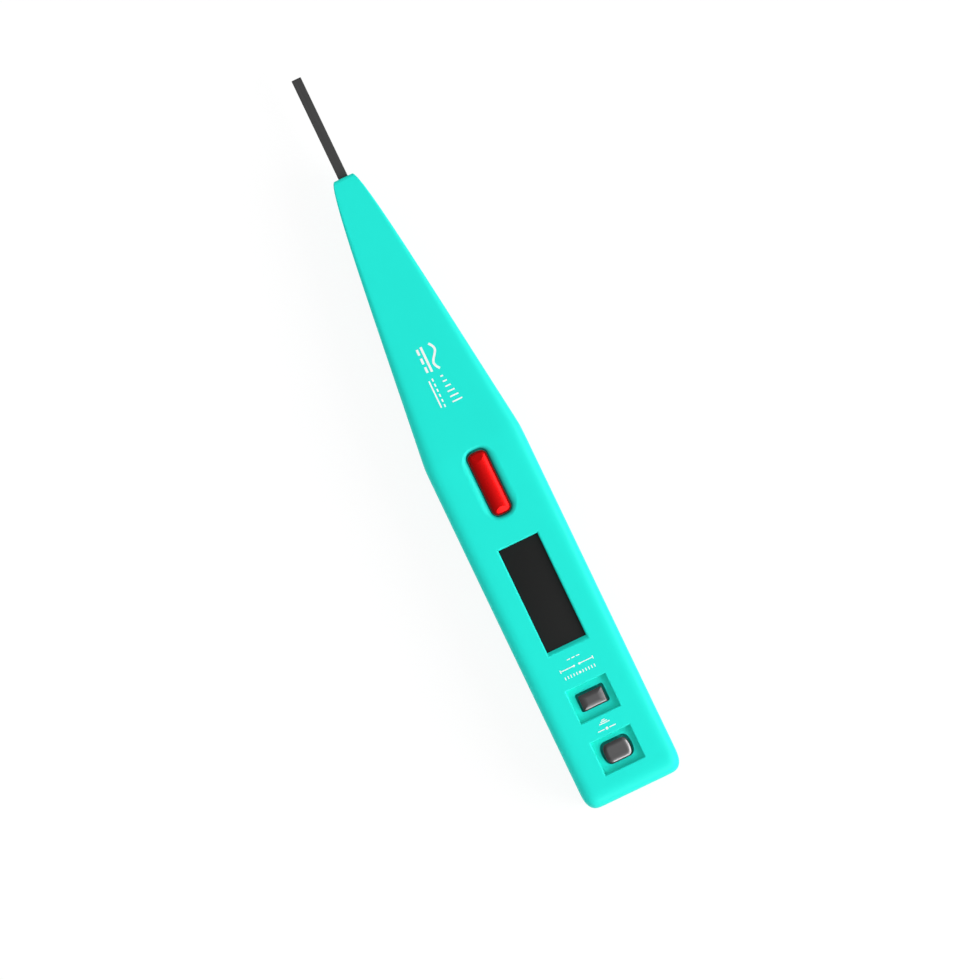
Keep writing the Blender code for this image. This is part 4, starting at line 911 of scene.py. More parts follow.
class TESTER_OT_front_shell(Operator):
    """Moulds the front shell with its window, lens slot, wells and button holes"""

    bl_idname = "tester.front_shell"
    bl_label = "Front shell"

    def execute(self, context):
        form, openings = context.scene.tester_casing, context.scene.tester_openings
        pieces = context.scene.tester_pieces
        start, hollow_end = form.seam_gap / 2, cavity_end(form)
        shell = shell_half("front_shell", form, 1, 0.0, start, BODY_LENGTH, form.seam_edge)
        tools = [("DIFFERENCE", shell_half("hollow", form, 1, form.wall, -OVERRUN, hollow_end))]
        rebate_low, rebate_top = PARTING - OVERRUN, REAR_HIGH.z + LIP_PLAY
        rebate_end = hollow_end + LIP_ROOT + LIP_PLAY
        rebate = outline_slab("rebate", form, LIP_INSET - LIP_PLAY, rebate_low, rebate_top, rebate_end)
        tools.append(("DIFFERENCE", rebate))
        inside = FACE - form.wall
        buttons = both_buttons(pieces)
        pad_length = openings.well_length + 2 * openings.pad_margin
        pad_width = openings.well_width + 2 * openings.pad_margin
        pad_low = FACE - openings.well_depth - openings.pad
        for button in buttons:
            pad = block("pad", button.centre.x, pad_length, pad_width, pad_low, inside + FUSE)
            tools.append(("UNION", pad))
        for button in buttons:
            tools.append(("DIFFERENCE", well_cutter("well", openings, button.centre)))
            tools += [("DIFFERENCE", cutter) for cutter in hole_cutters(openings, button)]
        window_centre, lens_centre = middle_of("display_window"), middle_of("indicator_lens")
        tools.append(("DIFFERENCE", window_cutter("window_opening", openings, window_centre)))
        slot = slot_cutters("lens_slot", openings, pieces, lens_centre)
        tools += [("DIFFERENCE", cutter) for cutter in slot]
        tools += front_bosses(form)
        tools.append(("DIFFERENCE", blade_channel("channel", form, pieces)))
        shape(shell, *tools)
        # Paint shade into the grooves round the buttons and the lens
        paint_groove_shade(shell, openings, pieces)
        weigh_normals(shell)
        dress(shell, BODY, "casing", casing_plastic(context), "front_casing")
        return {"FINISHED"}


def cover_track(name, pieces, end, link_half, link_roof):
    """The opening that the battery cover slides in, with the passage of its link strip."""
    gap = pieces.cover_gap
    plate = pieces.cover_width / 2 + gap
    tongue = plate + pieces.cover_tongue
    roof = pieces.cover_recess + pieces.cover_plate + gap
    ledge = pieces.cover_recess + pieces.cover_plate - pieces.cover_lip - gap
    half = [
        (plate, -OVERRUN),
        (plate, ledge),
        (tongue, ledge),
        (tongue, roof),
        (link_half, roof),
        (link_half, link_roof),
    ]
    profile = half + [(-y, z) for y, z in reversed(half)]
    return loft(name, [[(x, y, BACK + z) for y, z in profile] for x in (TAIL - OVERRUN, end)])


def screw_posts(floor, top):
    """The posts round the casing screws, each with its bore and the sink of the screw's head."""
    play, post_wall, bore_radius, seat = 0.0002, 0.0005, 0.0011, BACK + 0.0020
    flare, flare_depth = 0.00115, 0.00015
    tools = []
    for side in SIDES:
        node = f"casing_screw_{side}"
        foot, (low, high) = foot_of(node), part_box(node)
        sink = (high.x - low.x) / 2 + play
        post = turned("post", ((floor, sink + post_wall), (top, sink + post_wall)), foot)
        bore = turned("bore", ((BACK - OVERRUN, bore_radius), (FACE, bore_radius)), foot)
        profile = ((BACK - OVERRUN, sink + flare), (BACK + flare_depth, sink), (seat, sink))
        tools += [("UNION", post), ("DIFFERENCE", bore), ("DIFFERENCE", turned("sink", profile, foot))]
    return tools


class TESTER_OT_rear_shell(Operator):
    """Moulds the rear shell with its lip, battery bay, cover track, screw posts and ribs"""

    bl_idname = "tester.rear_shell"
    bl_label = "Rear shell"

    def execute(self, context):
        form, pieces = context.scene.tester_casing, context.scene.tester_pieces
        hollow_end = cavity_end(form)
        shell = shell_half("rear_shell", form, -1, 0.0, form.seam_gap / 2, BODY_LENGTH, form.seam_edge)
        lip_low, lip_end = PARTING - LIP_ROOT, hollow_end + LIP_ROOT
        lip = outline_slab("lip", form, LIP_INSET, lip_low, REAR_HIGH.z, lip_end)
        above = PARTING - REAR_HIGH.z - OVERRUN
        hollow = shell_half("hollow", form, -1, form.wall, above, hollow_end)
        tools = [("UNION", lip), ("DIFFERENCE", hollow)]

        play, bay_play, bay_wall = 0.0002, 0.0003, 0.0008
        rail_side, rail_end, rail_roof = 0.0007, 0.0010, 0.0012
        rib_places, rib = (0.040, 0.062), 0.0010
        (cell_low, cell_high), last_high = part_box("battery_cell_a"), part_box("battery_cell_b")[1]
        bay_start, bay_end = cell_low.x - bay_play, last_high.x + bay_play
        bay_half = cell_high.y + bay_play
        board_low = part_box("circuit_board")[0].z - play
        floor = BACK + form.wall - FUSE
        cover_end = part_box("battery_cover")[1].x
        roof = pieces.cover_recess + pieces.cover_plate + pieces.cover_gap
        rail_half = pieces.cover_width / 2 + pieces.cover_tongue + pieces.cover_gap + rail_side
        walls = box(
            "bay_walls",
            (bay_start - bay_wall, -bay_half - bay_wall, floor),
            (bay_end + bay_wall, bay_half + bay_wall, board_low),
        )
        rails = box(
            "rails",
            (TAIL + rail_end, -rail_half, floor - FUSE),
            (cover_end + rail_end, rail_half, BACK + roof + rail_roof),
        )
        tools += [("UNION", walls), ("UNION", rails)]
        for place in rib_places:
            width = 2 * half_width(form, place, form.wall - FUSE)
            tools.append(("UNION", block("rib", TAIL + place, rib, width, floor, board_low)))
        tools += screw_posts(floor, board_low)
        link_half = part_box("battery_link")[1].y + LINK_PLAY
        track = cover_track("track", pieces, cover_end + play, link_half, cell_low.z - BACK)
        bay_low, bay_high = BACK + roof - FUSE, board_low + OVERRUN
        bay = box("bay", (bay_start, -bay_half, bay_low), (bay_end, bay_half, bay_high))
        tools += [("DIFFERENCE", track), ("DIFFERENCE", bay)]
        tools.append(("DIFFERENCE", blade_channel("channel", form, pieces)))
        shape(shell, *tools)
        weigh_normals(shell)
        dress(shell, BODY, "casing", casing_plastic(context), "rear_casing")
        return {"FINISHED"}


def grip_cutters(outside):
    """Four grip grooves across the cover's outer face, and the slide arrow before them."""
    start, spacing, length = TAIL + 0.0150, 0.0014, 0.0064
    reach, depth, foot = 0.0003, 0.00035, 4e-5
    made = []
    for number in range(4):
        levels = []
        for angle in quarter_steps(4):
            wide = reach * math.sin(angle)
            levels.append((outside + depth * math.cos(angle), 2 * wide + foot, length + 2 * wide, wide))
        levels.append((BACK - OVERRUN, *levels[-1][1:]))
        made.append(stack("grip", (start + number * spacing, 0.0), levels, steps=4))
    tip, base, half_base, arrow_depth = start - 0.0042, start - 0.0020, 0.0019, 0.0002
    outline = [(tip, 0.0), (base, -half_base), (base, half_base)]
    heights = (BACK - OVERRUN, outside + arrow_depth)
    made.append(loft("arrow", [[(x, y, z) for x, y in outline] for z in heights]))
    return made


class TESTER_OT_battery_cover(Operator):
    """Moulds the sliding battery cover with its grip grooves and slide arrow"""

    bl_idname = "tester.battery_cover"
    bl_label = "Battery cover"

    def execute(self, context):
        form, pieces = context.scene.tester_casing, context.scene.tester_pieces
        low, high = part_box("battery_cover")
        plate, tongue = pieces.cover_width / 2, pieces.cover_width / 2 + pieces.cover_tongue
        inside = BACK + pieces.cover_recess + pieces.cover_plate
        ledge = inside - pieces.cover_lip
        half = [(plate, BACK - OVERRUN), (plate, ledge), (tongue, ledge), (tongue, inside)]
        profile = half + [(-y, z) for y, z in reversed(half)]
        cover = loft("cover_plate", [[(x, y, z) for y, z in profile] for x in (TAIL - OVERRUN, high.x)])
        skin = shell_half("skin", form, -1, pieces.cover_recess, 0.0, cavity_end(form))
        wall_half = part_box("battery_link")[1].y + LINK_PLAY - pieces.cover_gap
        wall_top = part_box("battery_cell_a")[0].z - pieces.cover_gap
        wall_low = (TAIL - OVERRUN, -wall_half, inside - FUSE)
        wall_high = (TAIL + form.wall, wall_half, wall_top)
        tools = [("UNION", box("end_wall", wall_low, wall_high)), ("INTERSECT", skin)]
        tools += [("DIFFERENCE", cutter) for cutter in grip_cutters(BACK + pieces.cover_recess)]
        shape(cover, *tools)
        weigh_normals(cover)
        dress(cover, COVER_BODY, "casing", casing_plastic(context), "battery_cover")
        return {"FINISHED"}


class TESTER_OT_window(Operator):
    """Sets the smoked window in the display opening"""

    bl_idname = "tester.window"
    bl_label = "Display window"

    def execute(self, context):
        openings = context.scene.tester_openings
        low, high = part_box("display_window")
        centre = middle_of("display_window")
        top = FACE - openings.window_recess
        gap, edge, play, flange_corner = 0.00002, 0.00004, 0.0002, 0.0003
        length, width = openings.window_length - 2 * gap, openings.window_width - 2 * gap
        flange_top = FACE - context.scene.tester_casing.wall - play
        flange = (high.x - low.x, high.y - low.y, flange_corner)
        levels = [(low.z, *flange), (flange_top, *flange), (flange_top, length, width, edge)]
        for angle in quarter_steps(3):
            inset = 2 * edge * (1 - math.cos(angle))
            levels.append((top - edge * (1 - math.sin(angle)), length - inset, width - inset, edge))
        window = settle(stack("window_pane", centre, levels, steps=2))
        dress(window, BODY, "window", window_plastic(context), "display_window")
        return {"FINISHED"}


def crown_slopes(half, main_slope, edge):
    """(slope, distance from the middle) down a round crown and the tighter rounding at its edge."""
    inner, last = half - edge, math.radians(84)
    made = []
    for start, end, first, full, steps in (
        (0.0, inner, 0.0, main_slope, 14),
        (inner, half, main_slope, last, 6),
    ):
        for step in range(1, steps + 1):
            slope = first + (full - first) * step / steps
            share = (math.sin(slope) - math.sin(first)) / (math.sin(full) - math.sin(first))
            made.append((slope - (full - first) / steps / 2, start + (end - start) * share))
    return made


class TESTER_OT_lens(Operator):
    """Crowns the red indicator lens, with hipped ends and softened ridges"""

    bl_idname = "tester.lens"
    bl_label = "Indicator lens"

    def execute(self, context):
        openings, pieces = context.scene.tester_openings, context.scene.tester_pieces
        low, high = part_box("indicator_lens")
        centre = middle_of("indicator_lens")
        length, width, corner = pieces.lens_length, pieces.lens_width, pieces.lens_corner
        play, least_corner, ridge = 0.0002, 0.00003, 0.00006
        flange_top = FACE - context.scene.tester_casing.wall - play
        flange = (high.x - low.x, high.y - low.y, corner + openings.fit)
        levels = [(low.z, *flange), (flange_top, *flange), (flange_top, length, width, corner)]
        crown = [(high.z, 0.0)]
        for slope, reach in crown_slopes(width / 2, pieces.lens_slope, pieces.lens_edge):
            run = reach - crown[-1][1]
            crown.append((crown[-1][0] - run * math.tan(slope), reach))
        inner = width / 2 - pieces.lens_edge
        shoulder = next(height for height, reach in crown if reach > inner - 1e-6)
        curves = (1 / pieces.lens_end_radius, 0.0)
        rings = [rounded_rectangle(centre, *level[1:], level[0], curves, steps=8) for level in levels]
        for height, reach in reversed(crown):
            up = max(0.0, (height - shoulder) / (high.z - shoulder))
            edge = min(width / 2 - reach, pieces.lens_edge)
            hips = (pieces.lens_tail_hip + pieces.lens_tip_hip) * up
            lean = (pieces.lens_tail_hip - pieces.lens_tip_hip) * up / 2
            round_off = max((corner - edge) * (1 - up) ** 2, least_corner)
            along, across = length - 2 * edge - hips, max(2 * reach, ridge)
            middle = (centre.x + lean, centre.y)
            rings.append(rounded_rectangle(middle, along, across, round_off, height, curves, steps=8))
        lens = settle(loft("lens_cap", rings))
        weigh_normals(lens)
        dress(lens, BODY, "lens", lens_plastic(context), "indicator_lens")
        return {"FINISHED"}


class TESTER_OT_buttons(Operator):
    """Forms the two metal touch buttons"""

    bl_idname = "tester.buttons"
    bl_label = "Touch buttons"

    def execute(self, context):
        pieces = context.scene.tester_pieces
        metal = button_metal(context)
        facet_steps, corner_share, least_corner = 12, 0.25, 0.00004
        for button in both_buttons(pieces):
            low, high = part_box(button.node)
            flange = (high.x - low.x, high.y - low.y, button.corner + pieces.button_flange)
            flange_top = low.z + pieces.button_flange
            cap = (button.length, button.width, button.corner)
            levels = [(low.z, *flange), (flange_top, *flange), (flange_top, *cap)]
            for step in range(facet_steps + 1):
                share = step / facet_steps
                inset = 2 * share
                height = high.z - button.rise * (1 - share) ** button.fullness
                corner = max(button.corner - button.facet_x * inset * corner_share, least_corner)
                along = button.length - button.facet_x * inset
                levels.append((height, along, button.width - button.facet_y * inset, corner))
            piece = settle(stack(f"{button.name}_cap", button.centre, levels, (0.0, button.curve), steps=8))
            weigh_normals(piece)
            dress(piece, f"{button.name}_key", "button", metal, button.node)
        return {"FINISHED"}


def coil(name, low, high, wire, closed, active):
    """An upright compression spring in a box: closed turns at each end, open ones between them."""
    centre, radius = (low + high) / 2, (high.x - low.x - wire) / 2
    steps, sides, closed_pitch = 24, 10, 1.08 * wire
    closed_rise = closed * closed_pitch
    open_rise = high.z - low.z - wire - 2 * closed_rise
    rings = []
    for step in range(int((2 * closed + active) * steps) + 1):
        turn = step / steps
        ends = within(turn / closed) + within((turn - closed - active) / closed)
        height = low.z + wire / 2 + closed_rise * ends + open_rise * within((turn - closed) / active)
        heading = Vector((math.cos(2 * math.pi * turn), math.sin(2 * math.pi * turn), 0.0))
        ring = []
        for side in range(sides):
            angle = 2 * math.pi * side / sides
            out = heading * (radius + wire / 2 * math.cos(angle))
            ring.append((centre.x + out.x, centre.y + out.y, height + wire / 2 * math.sin(angle)))
        rings.append(ring)
    return settle(loft(name, rings))


class TESTER_OT_button_springs(Operator):
    """Winds the springs under the two buttons"""

    bl_idname = "tester.button_springs"
    bl_label = "Button springs"

    def execute(self, context):
        steel = spring_steel()
        for name in ("inductance", "direct"):
            node, joint = f"{name}_button_spring", f"{name}_press"
            low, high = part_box(node)
            spring = coil(f"{name}_spring", low, high, wire=0.0003, closed=0.75, active=2.0)
            dress(spring, BODY, "spring", steel, node)
            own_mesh(spring)
        return {"FINISHED"}


class TESTER_OT_blade(Operator):
    """Draws the driver blade with its chamfered edges, thinned end and locking ears"""

    bl_idname = "tester.blade"
    bl_label = "Driver blade"

    def execute(self, context):
        pieces = context.scene.tester_pieces
        low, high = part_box("probe_blade")
        edge = pieces.blade_edge
        half = pieces.blade_width / 2
        tip_start = high.x - pieces.blade_tip_length
        thick, thin = pieces.blade_thickness / 2, pieces.blade_tip / 2
        easing, ear_place, ear_length, ear_half = 0.0004, 0.0060, 0.0020, 0.0005
        rings = []
        for x, side, rise, cut in (
            (low.x, half, thick, edge),
            (tip_start - easing, half, thick, edge),
            (tip_start + easing, half, thick - 0.00002, edge),
            (high.x - edge, half, thin + 0.00001, edge),
            (high.x, half - edge, thin - edge * 0.6, edge * 0.6),
        ):
            corners = []
            for sign_y, sign_z in CORNERS:
                first, second = (side - cut, rise), (side, rise - cut)
                pair = (second, first) if sign_y * sign_z > 0 else (first, second)
                corners += [(x, sign_y * y, PARTING + sign_z * z) for y, z in pair]
            rings.append(corners)
        blade = loft("driver_blade", rings)
        ear_low, ear_high = PARTING - ear_half, PARTING + ear_half
        ears = block("ears", low.x + ear_place, ear_length, high.y - low.y, ear_low, ear_high)
        shape(blade, ("UNION", ears))
        dress(blade, BODY, "blade", blade_steel(context), "probe_blade")
        return {"FINISHED"}


def screw_profile(radius, length):
    """(height, radius) of a casing screw, from its domed head over its thread to its point."""
    head, shank, pitch, core = 0.0011, 0.0009, 0.0008, 0.78
    flat, bulge, first_turn, bare_end, point = 0.55, 0.45, 0.0006, 0.0012, 0.0006
    profile = [(0.0, radius * flat)]
    for angle in quarter_steps(6):
        height = head * 0.5 * (1 - math.sin(math.pi / 2 - angle))
        profile.append((height, radius * (flat + bulge * math.sin(angle))))
    profile += [(head, radius), (head, shank)]
    for turn in range(int((length - head - bare_end) / pitch)):
        base = head + first_turn + turn * pitch
        profile += [(base, shank * core), (base + pitch / 2, shank)]
    return profile + [(length - point, shank * 0.7), (length, shank * 0.2)]


class TESTER_OT_screws(Operator):
    """Turns the two casing screws and sinks their cross recesses"""

    bl_idname = "tester.screws"
    bl_label = "Casing screws"

    def execute(self, context):
        steel = screw_steel()
        slot, width, depth, taper, corner = 0.0021, 0.00045, 0.0006, 0.7, 0.0001
        for side in SIDES:
            node = f"casing_screw_{side}"
            low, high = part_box(node)
            centre = foot_of(node, low.z)
            profile = screw_profile((high.x - low.x) / 2, high.z - low.z)
            screw = turned(f"screw_{side}", profile, centre)
            tools = []
            for along, across in ((slot, width), (width, slot)):
                levels = [
                    (low.z - OVERRUN, along, across, corner),
                    (low.z + depth, along * taper, across * taper, corner),
                ]
                tools.append(("DIFFERENCE", stack("drive", centre, levels, steps=3)))
            shape(screw, *tools)
            dress(screw, BODY, "screw", steel, node)
        return {"FINISHED"}


def rolled_edge(top, radius, roll):
    """(height, radius) up and over the rounded upper edge of a turned form."""
    return [
        (top - roll * (1 - math.sin(angle)), radius - roll * (1 - math.cos(angle)))
        for angle in quarter_steps(4)
    ]


def cell_profile(radius, tall):
    """(height, radius) of a button cell, from its rounded can over its crimp to its cap."""
    corner, dish, crimp, seal, seal_depth = 0.0005, 0.00005, 0.0002, 0.00008, 0.00015
    cap, cap_height, cap_roll = 0.0033, 0.0006, 0.0003
    rim = tall - cap_height
    profile = [(0.0, radius - corner * 1.6), (dish, radius - corner * 1.3)]
    for angle in quarter_steps(5):
        height = corner * (1 - math.cos(angle)) + dish
        profile.append((height, radius - corner * (1 - math.sin(angle))))
    profile += rolled_edge(rim, radius, crimp)
    profile += [(rim, cap + crimp), (rim - seal_depth, cap + seal), (rim - seal_depth, cap)]
    return profile + rolled_edge(tall, cap, cap_roll)


class TESTER_OT_cells(Operator):
    """Presses the two button cells, with a rounded can, a crimped rim and a raised cap"""

    bl_idname = "tester.cells"
    bl_label = "Button cells"

    def execute(self, context):
        steel = cell_steel()
        for name, cap_up in (("a", True), ("b", False)):
            node = f"battery_cell_{name}"
            low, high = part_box(node)
            tall = high.z - low.z
            profile = cell_profile((high.x - low.x) / 2, tall)
            if not cap_up:
                profile = [(tall - height, reach) for height, reach in reversed(profile)]
            cell = settle(turned(f"cell_{name}", profile, foot_of(node, low.z), sides=72))
            dress(cell, BODY, "cell", steel, node)
        return {"FINISHED"}


# ---------------------------------------------------------------- print


class Ink:
    """White strokes laid on the front face, joined into one piece."""

    film = 0.000012
    sunk = 0.000010

    def __init__(self, form):
        self.form = form
        self.bm = bmesh.new()

    def section(self, x, y, away_x, away_y):
        """The film's cross-section at a point of a stroke."""
        ring = []
        for side, lift in ((-1, -self.sunk), (1, -self.sunk), (1, self.film), (-1, self.film)):
            at_x, at_y = x + side * away_x, y + side * away_y
            ring.append((at_x, at_y, face_height(self.form, at_x) + lift))
        return ring

    def stroke(self, points, width):
        """A line of even width through points."""
        rings = []
        for i, (x, y) in enumerate(points):
            before, after = points[max(i - 1, 0)], points[min(i + 1, len(points) - 1)]
            run = Vector((after[0] - before[0], after[1] - before[1])).normalized() * width / 2
            rings.append(self.section(x, y, -run.y, run.x))
        add_loft(self.bm, rings)

    def wave(self, centre, length, rise, width, steps=24):
        """One full wave along the tester."""
        points = []
        for step in range(steps + 1):
            share = step / steps
            x = centre[0] + length * (share - 0.5)
            points.append((x, centre[1] + rise * math.sin(2 * math.pi * share)))
        self.stroke(points, width)

    def bar(self, centre, reach_x, reach_y, width):
        """A straight bar through a centre, with its two half reaches."""
        ends = [(centre[0] - reach_x, centre[1] - reach_y), (centre[0] + reach_x, centre[1] + reach_y)]
        self.stroke([ends[0], centre, ends[1]], width)

    def arc(self, centre, radius, facing, spread, width, steps=10):
        """A short arc about a centre."""
        points = []
        for step in range(steps + 1):
            angle = facing + spread * (step / steps - 0.5)
            points.append((centre[0] + radius * math.cos(angle), centre[1] + radius * math.sin(angle)))
        self.stroke(points, width)

    def dot(self, centre, radius, sides=16):
        """A filled dot."""
        rings = []
        for lift in (-self.sunk, self.film):
            ring = []
            for side in range(sides):
                angle = 2 * math.pi * side / sides
                x, y = centre[0] + radius * math.cos(angle), centre[1] + radius * math.sin(angle)
                ring.append((x, y, face_height(self.form, x) + lift))
            rings.append(ring)
        add_loft(self.bm, rings)


class TESTER_OT_print(Operator):
    """Pad-prints plain signs: both kinds of current, a rising scale, waves and a broken line"""

    bl_idname = "tester.print"
    bl_label = "Print"

    def execute(self, context):
        ink = Ink(context.scene.tester_casing)
        bold, fine, hair = 0.00042, 0.00026, 0.00016

        current_x = TAIL + 0.0851
        ink.wave((current_x, -0.0009), 0.0048, 0.00062, bold)
        ink.bar((current_x, 0.00065), 0.0024, 0.0, bold)
        for offset in (-0.0017, 0.0, 0.0017):
            ink.bar((current_x + offset, 0.00145), 0.00055, 0.0, bold)

        scale_x = TAIL + 0.0788
        for number in range(6):
            reach = 0.00025 + 0.00014 * number
            ink.bar((scale_x + 0.0025 - number * 0.0010, -0.00032 - reach), 0.0, reach, fine)
        for number in range(6):
            ink.bar((scale_x + 0.0025 - number * 0.0010, 0.0012), 0.00028, 0.0, fine)
        ink.bar((scale_x, 0.0019), 0.0026, 0.0, fine)

        wave_x, break_x, low_x = TAIL + 0.02323, TAIL + 0.02469, TAIL + 0.02615
        ink.dot((wave_x, 0.0), 0.00022)
        for side in (-1, 1):
            for number in range(5):
                radius, spread = 0.00062 + 0.00056 * number, 0.9 / (1 + 0.9 * number)
                ink.arc((wave_x, 0.0), radius, side * math.pi / 2, spread, hair)
            ink.bar((break_x, side * 0.00190), 0.0, 0.00117, hair)
            ink.dot((break_x, side * 0.00052), 0.00020)
            ink.bar((break_x, side * 0.00316), 0.0003, 0.0, hair)
        for number in range(3):
            ink.bar((low_x, (number - 1) * 0.0009), 0.0, 0.00030, hair)

        touch_x, ground_x = TAIL + 0.01218, TAIL + 0.01355
        ink.dot((touch_x, 0.0), 0.00026)
        for side in (-1, 1):
            ink.bar((touch_x, side * 0.0011), 0.0, 0.00062, hair)
        for number, reach in enumerate((0.0010, 0.00065, 0.0003)):
            ink.bar((ground_x - 0.0003 + number * 0.0003, 0.0), 0.0, reach, hair)

        marks = object_from(ink.bm, "pad_print")
        dress(marks, BODY, "white", print_ink(context))
        return {"FINISHED"}


class TESTER_OT_inner_finishes(Operator):
    """Gives the pieces inside the casing their finishes"""

    bl_idname = "tester.inner_finishes"
    bl_label = "Inner finishes"

    def execute(self, context):
        finishes = inner_finishes()
        for part in frame["record"]["subparts"]:
            node = frame["nodes"][part["node"]]
            if part["material_slot"] in finishes:
                node.data.materials.clear()
                node.data.materials.append(finishes[part["material_slot"]])
        return {"FINISHED"}


# ---------------------------------------------------------------- stage


def lamp_direction(turn, elevation):
    """The way from the tester to a lamp that is turned from the tail towards the lit side."""
    level = math.cos(elevation)
    return Vector((-level * math.cos(turn), -level * math.sin(turn), math.sin(elevation)))


def lamp(name, radiance, spread, direction, distance, target):
    """A round soft lamp that faces a target: spread is the angle from its middle to its rim."""
    radius = distance * math.tan(spread)
    data = bpy.data.lights.new(name, "AREA")
    data.shape = "DISK"
    data.size = 2 * radius
    data.energy = radiance * (math.pi * radius) ** 2
    made = bpy.data.objects.new(name, data)
    made.location = target + direction * distance
    made.rotation_euler = direction.to_track_quat("Z", "Y").to_euler()
    made.visible_camera = False
    bpy.context.scene.collection.objects.link(made)
    return made


def blended(tree, factor, first, second):
    """A node value that runs from the first to the second, each a number or a socket."""
    mix = tree.nodes.new("ShaderNodeMix")
    tree.links.new(factor, mix.inputs["Factor"])
    for label, value in (("A", first), ("B", second)):
        if isinstance(value, float):
            mix.inputs[label].default_value = value
        else:
            tree.links.new(value, mix.inputs[label])
    return mix.outputs["Result"]


def studio_world(form):
    """White for the camera, an even light on surfaces, and for gloss a sky that brightens by the key."""
    world = bpy.data.worlds.new("studio")
    world.use_nodes = True
    tree = world.node_tree
    rays = tree.nodes.new("ShaderNodeLightPath")
    direction = tree.nodes.new("ShaderNodeTexCoord")
    facing = tree.nodes.new("ShaderNodeVectorMath")
    facing.operation = "DOT_PRODUCT"
    facing.inputs[1].default_value = lamp_direction(form.key_turn, 0.0)
    tree.links.new(direction.outputs["Generated"], facing.inputs[0])
    sky = facing.outputs["Value"]
    for operation, values in (
        ("ADD", (1.0,)),
        ("POWER", (form.sky_focus,)),
        ("MULTIPLY_ADD", (1 - form.sky_least, form.sky_least)),
    ):
        step = tree.nodes.new("ShaderNodeMath")
        step.operation = operation
        tree.links.new(sky, step.inputs[0])
        for place, value in enumerate(values, 1):
            step.inputs[place].default_value = value
        sky = step.outputs[0]
    light = blended(tree, rays.outputs["Is Glossy Ray"], form.even_light, sky)
    shown = blended(tree, rays.outputs["Is Camera Ray"], light, 1.0)
    background = tree.nodes["Background"]
    background.inputs["Color"].default_value = (1.0, 1.0, 1.0, 1.0)
    tree.links.new(shown, background.inputs["Strength"])
    return world


def seen_directly(tree):
    """1 for the rays that show a surface to the camera, straight or through gloss and glass."""
    rays = tree.nodes.new("ShaderNodeLightPath")
    total = rays.outputs["Is Camera Ray"]
    for label in ("Is Glossy Ray", "Is Transmission Ray"):
        most = tree.nodes.new("ShaderNodeMath")
        most.operation = "MAXIMUM"
        tree.links.new(total, most.inputs[0])
        tree.links.new(rays.outputs[label], most.inputs[1])
        total = most.outputs[0]
    return total


def paper_floor():
    """A white floor that lightens the object's shadow for the camera."""
    material = bpy.data.materials.new("white_floor")
    material.use_nodes = True
    tree = material.node_tree
    tree.nodes.clear()
    bounce = tree.nodes.new("ShaderNodeBsdfDiffuse")
    bounce.inputs["Color"].default_value = (0.80, 0.80, 0.80, 1.0)
    shown = tree.nodes.new("ShaderNodeBsdfDiffuse")
    shown.inputs["Color"].default_value = (0.12, 0.12, 0.12, 1.0)
    glow = tree.nodes.new("ShaderNodeEmission")
    glow.inputs["Strength"].default_value = 0.90
    both = tree.nodes.new("ShaderNodeAddShader")
    mix = tree.nodes.new("ShaderNodeMixShader")
    output = tree.nodes.new("ShaderNodeOutputMaterial")
    for source, target in (
        (shown.outputs[0], both.inputs[0]),
        (glow.outputs[0], both.inputs[1]),
        (seen_directly(tree), mix.inputs["Fac"]),
        (bounce.outputs[0], mix.inputs[1]),
        (both.outputs[0], mix.inputs[2]),
        (mix.outputs[0], output.inputs["Surface"]),
    ):
        tree.links.new(source, target)
    return material


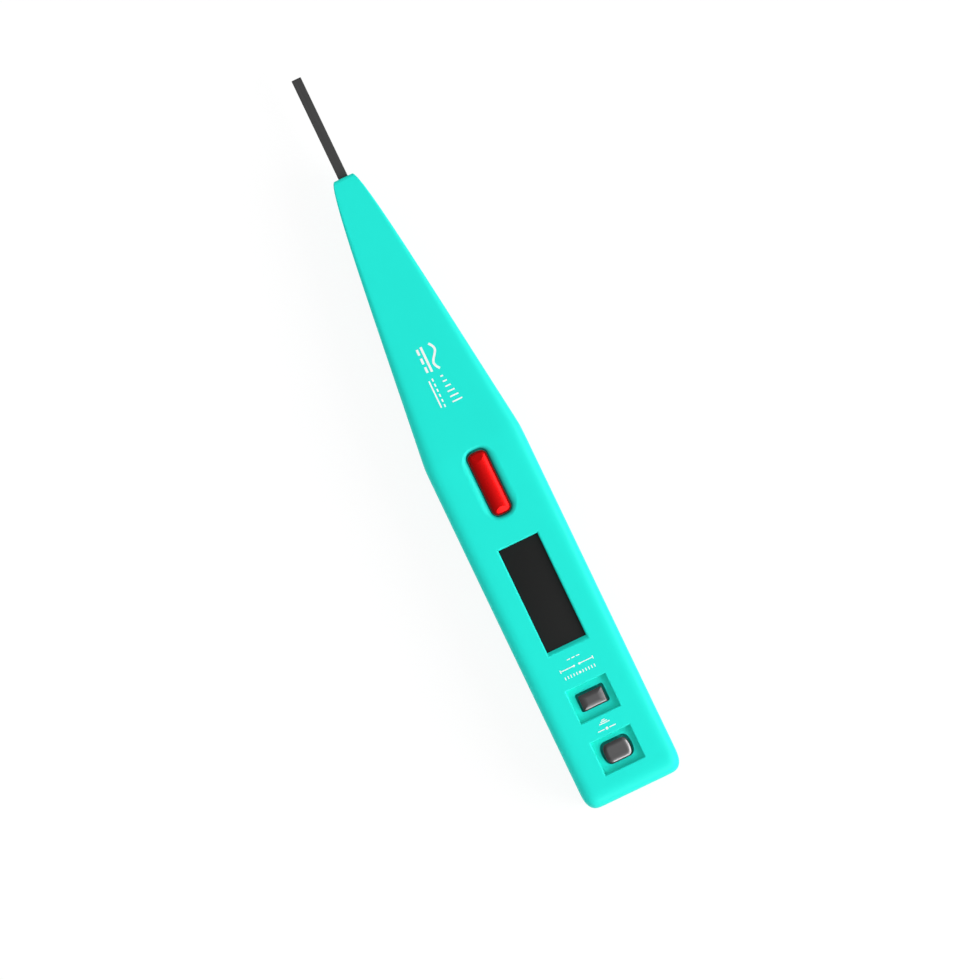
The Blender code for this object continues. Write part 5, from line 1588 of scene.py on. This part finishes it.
class TESTER_OT_stage(Operator):
    """Sets up the white floor, the soft light and the camera"""

    bl_idname = "tester.stage"
    bl_label = "Stage"

    def execute(self, context):
        scene = context.scene
        floor_radius, floor_gap, camera_height = 3.0, 0.00002, 0.60
        bm = bmesh.new()
        bmesh.ops.create_circle(bm, cap_ends=True, segments=64, radius=floor_radius)
        floor = object_from(bm, "floor")
        floor.location.z = BACK - floor_gap
        floor.data.materials.append(paper_floor())

        stage = scene.tester_stage
        scene.world = studio_world(stage)
        target = Vector((stage.view_x, stage.view_y, FACE))
        direction = lamp_direction(stage.key_turn, stage.key_elevation)
        lamp("key", stage.key_radiance, stage.key_spread, direction, stage.key_distance, target)
        for name, turn in (("tail_gloss", stage.tail_gloss_turn), ("side_gloss", stage.side_gloss_turn)):
            direction = lamp_direction(turn, stage.gloss_elevation)
            spread, distance = stage.gloss_spread, stage.key_distance
            gloss = lamp(name, stage.gloss_radiance, spread, direction, distance, target)
            gloss.visible_diffuse = False

        camera = bpy.data.cameras.new("camera")
        camera.type = "ORTHO"
        camera.ortho_scale = stage.view_size
        camera.clip_end = 10.0
        viewer = bpy.data.objects.new("camera", camera)
        viewer.location = (stage.view_x, stage.view_y, camera_height)
        viewer.rotation_euler = (0.0, 0.0, -stage.view_turn)
        scene.collection.objects.link(viewer)
        scene.camera = viewer
        scene.view_settings.view_transform = "Standard"
        return {"FINISHED"}


# ---------------------------------------------------------------- panel and registration


PIECE_OPERATORS = (
    TESTER_OT_front_shell,
    TESTER_OT_rear_shell,
    TESTER_OT_battery_cover,
    TESTER_OT_window,
    TESTER_OT_lens,
    TESTER_OT_buttons,
    TESTER_OT_button_springs,
    TESTER_OT_blade,
    TESTER_OT_screws,
    TESTER_OT_cells,
    TESTER_OT_print,
    TESTER_OT_inner_finishes,
    TESTER_OT_stage,
)
SETTINGS = {
    "tester_casing": CasingForm,
    "tester_openings": OpeningForm,
    "tester_pieces": PieceForm,
    "tester_colours": Colours,
    "tester_stage": Stage,
}


class TESTER_PT_panel(Panel):
    """Lists the tester's settings and pieces"""

    bl_idname = "TESTER_PT_panel"
    bl_label = "Voltage tester"
    bl_space_type = "VIEW_3D"
    bl_region_type = "UI"
    bl_category = "Tester"

    def draw(self, context):
        for name, group in SETTINGS.items():
            section = self.layout.box()
            section.label(text=group.__doc__)
            for field in group.__annotations__:
                section.prop(getattr(context.scene, name), field)
        for operator in PIECE_OPERATORS:
            self.layout.operator(operator.bl_idname)


def register():
    for group in SETTINGS.values():
        bpy.utils.register_class(group)
    for name, group in SETTINGS.items():
        setattr(bpy.types.Scene, name, PointerProperty(type=group))
    for operator in PIECE_OPERATORS:
        bpy.utils.register_class(operator)
    bpy.utils.register_class(TESTER_PT_panel)


def unregister():
    bpy.utils.unregister_class(TESTER_PT_panel)
    for operator in reversed(PIECE_OPERATORS):
        bpy.utils.unregister_class(operator)
    for name in SETTINGS:
        delattr(bpy.types.Scene, name)
    for group in SETTINGS.values():
        bpy.utils.unregister_class(group)


def main():
    register()
    for operator in PIECE_OPERATORS:
        group, name = operator.bl_idname.split(".")
        getattr(getattr(bpy.ops, group), name)()


if __name__ == "__main__":
    main()
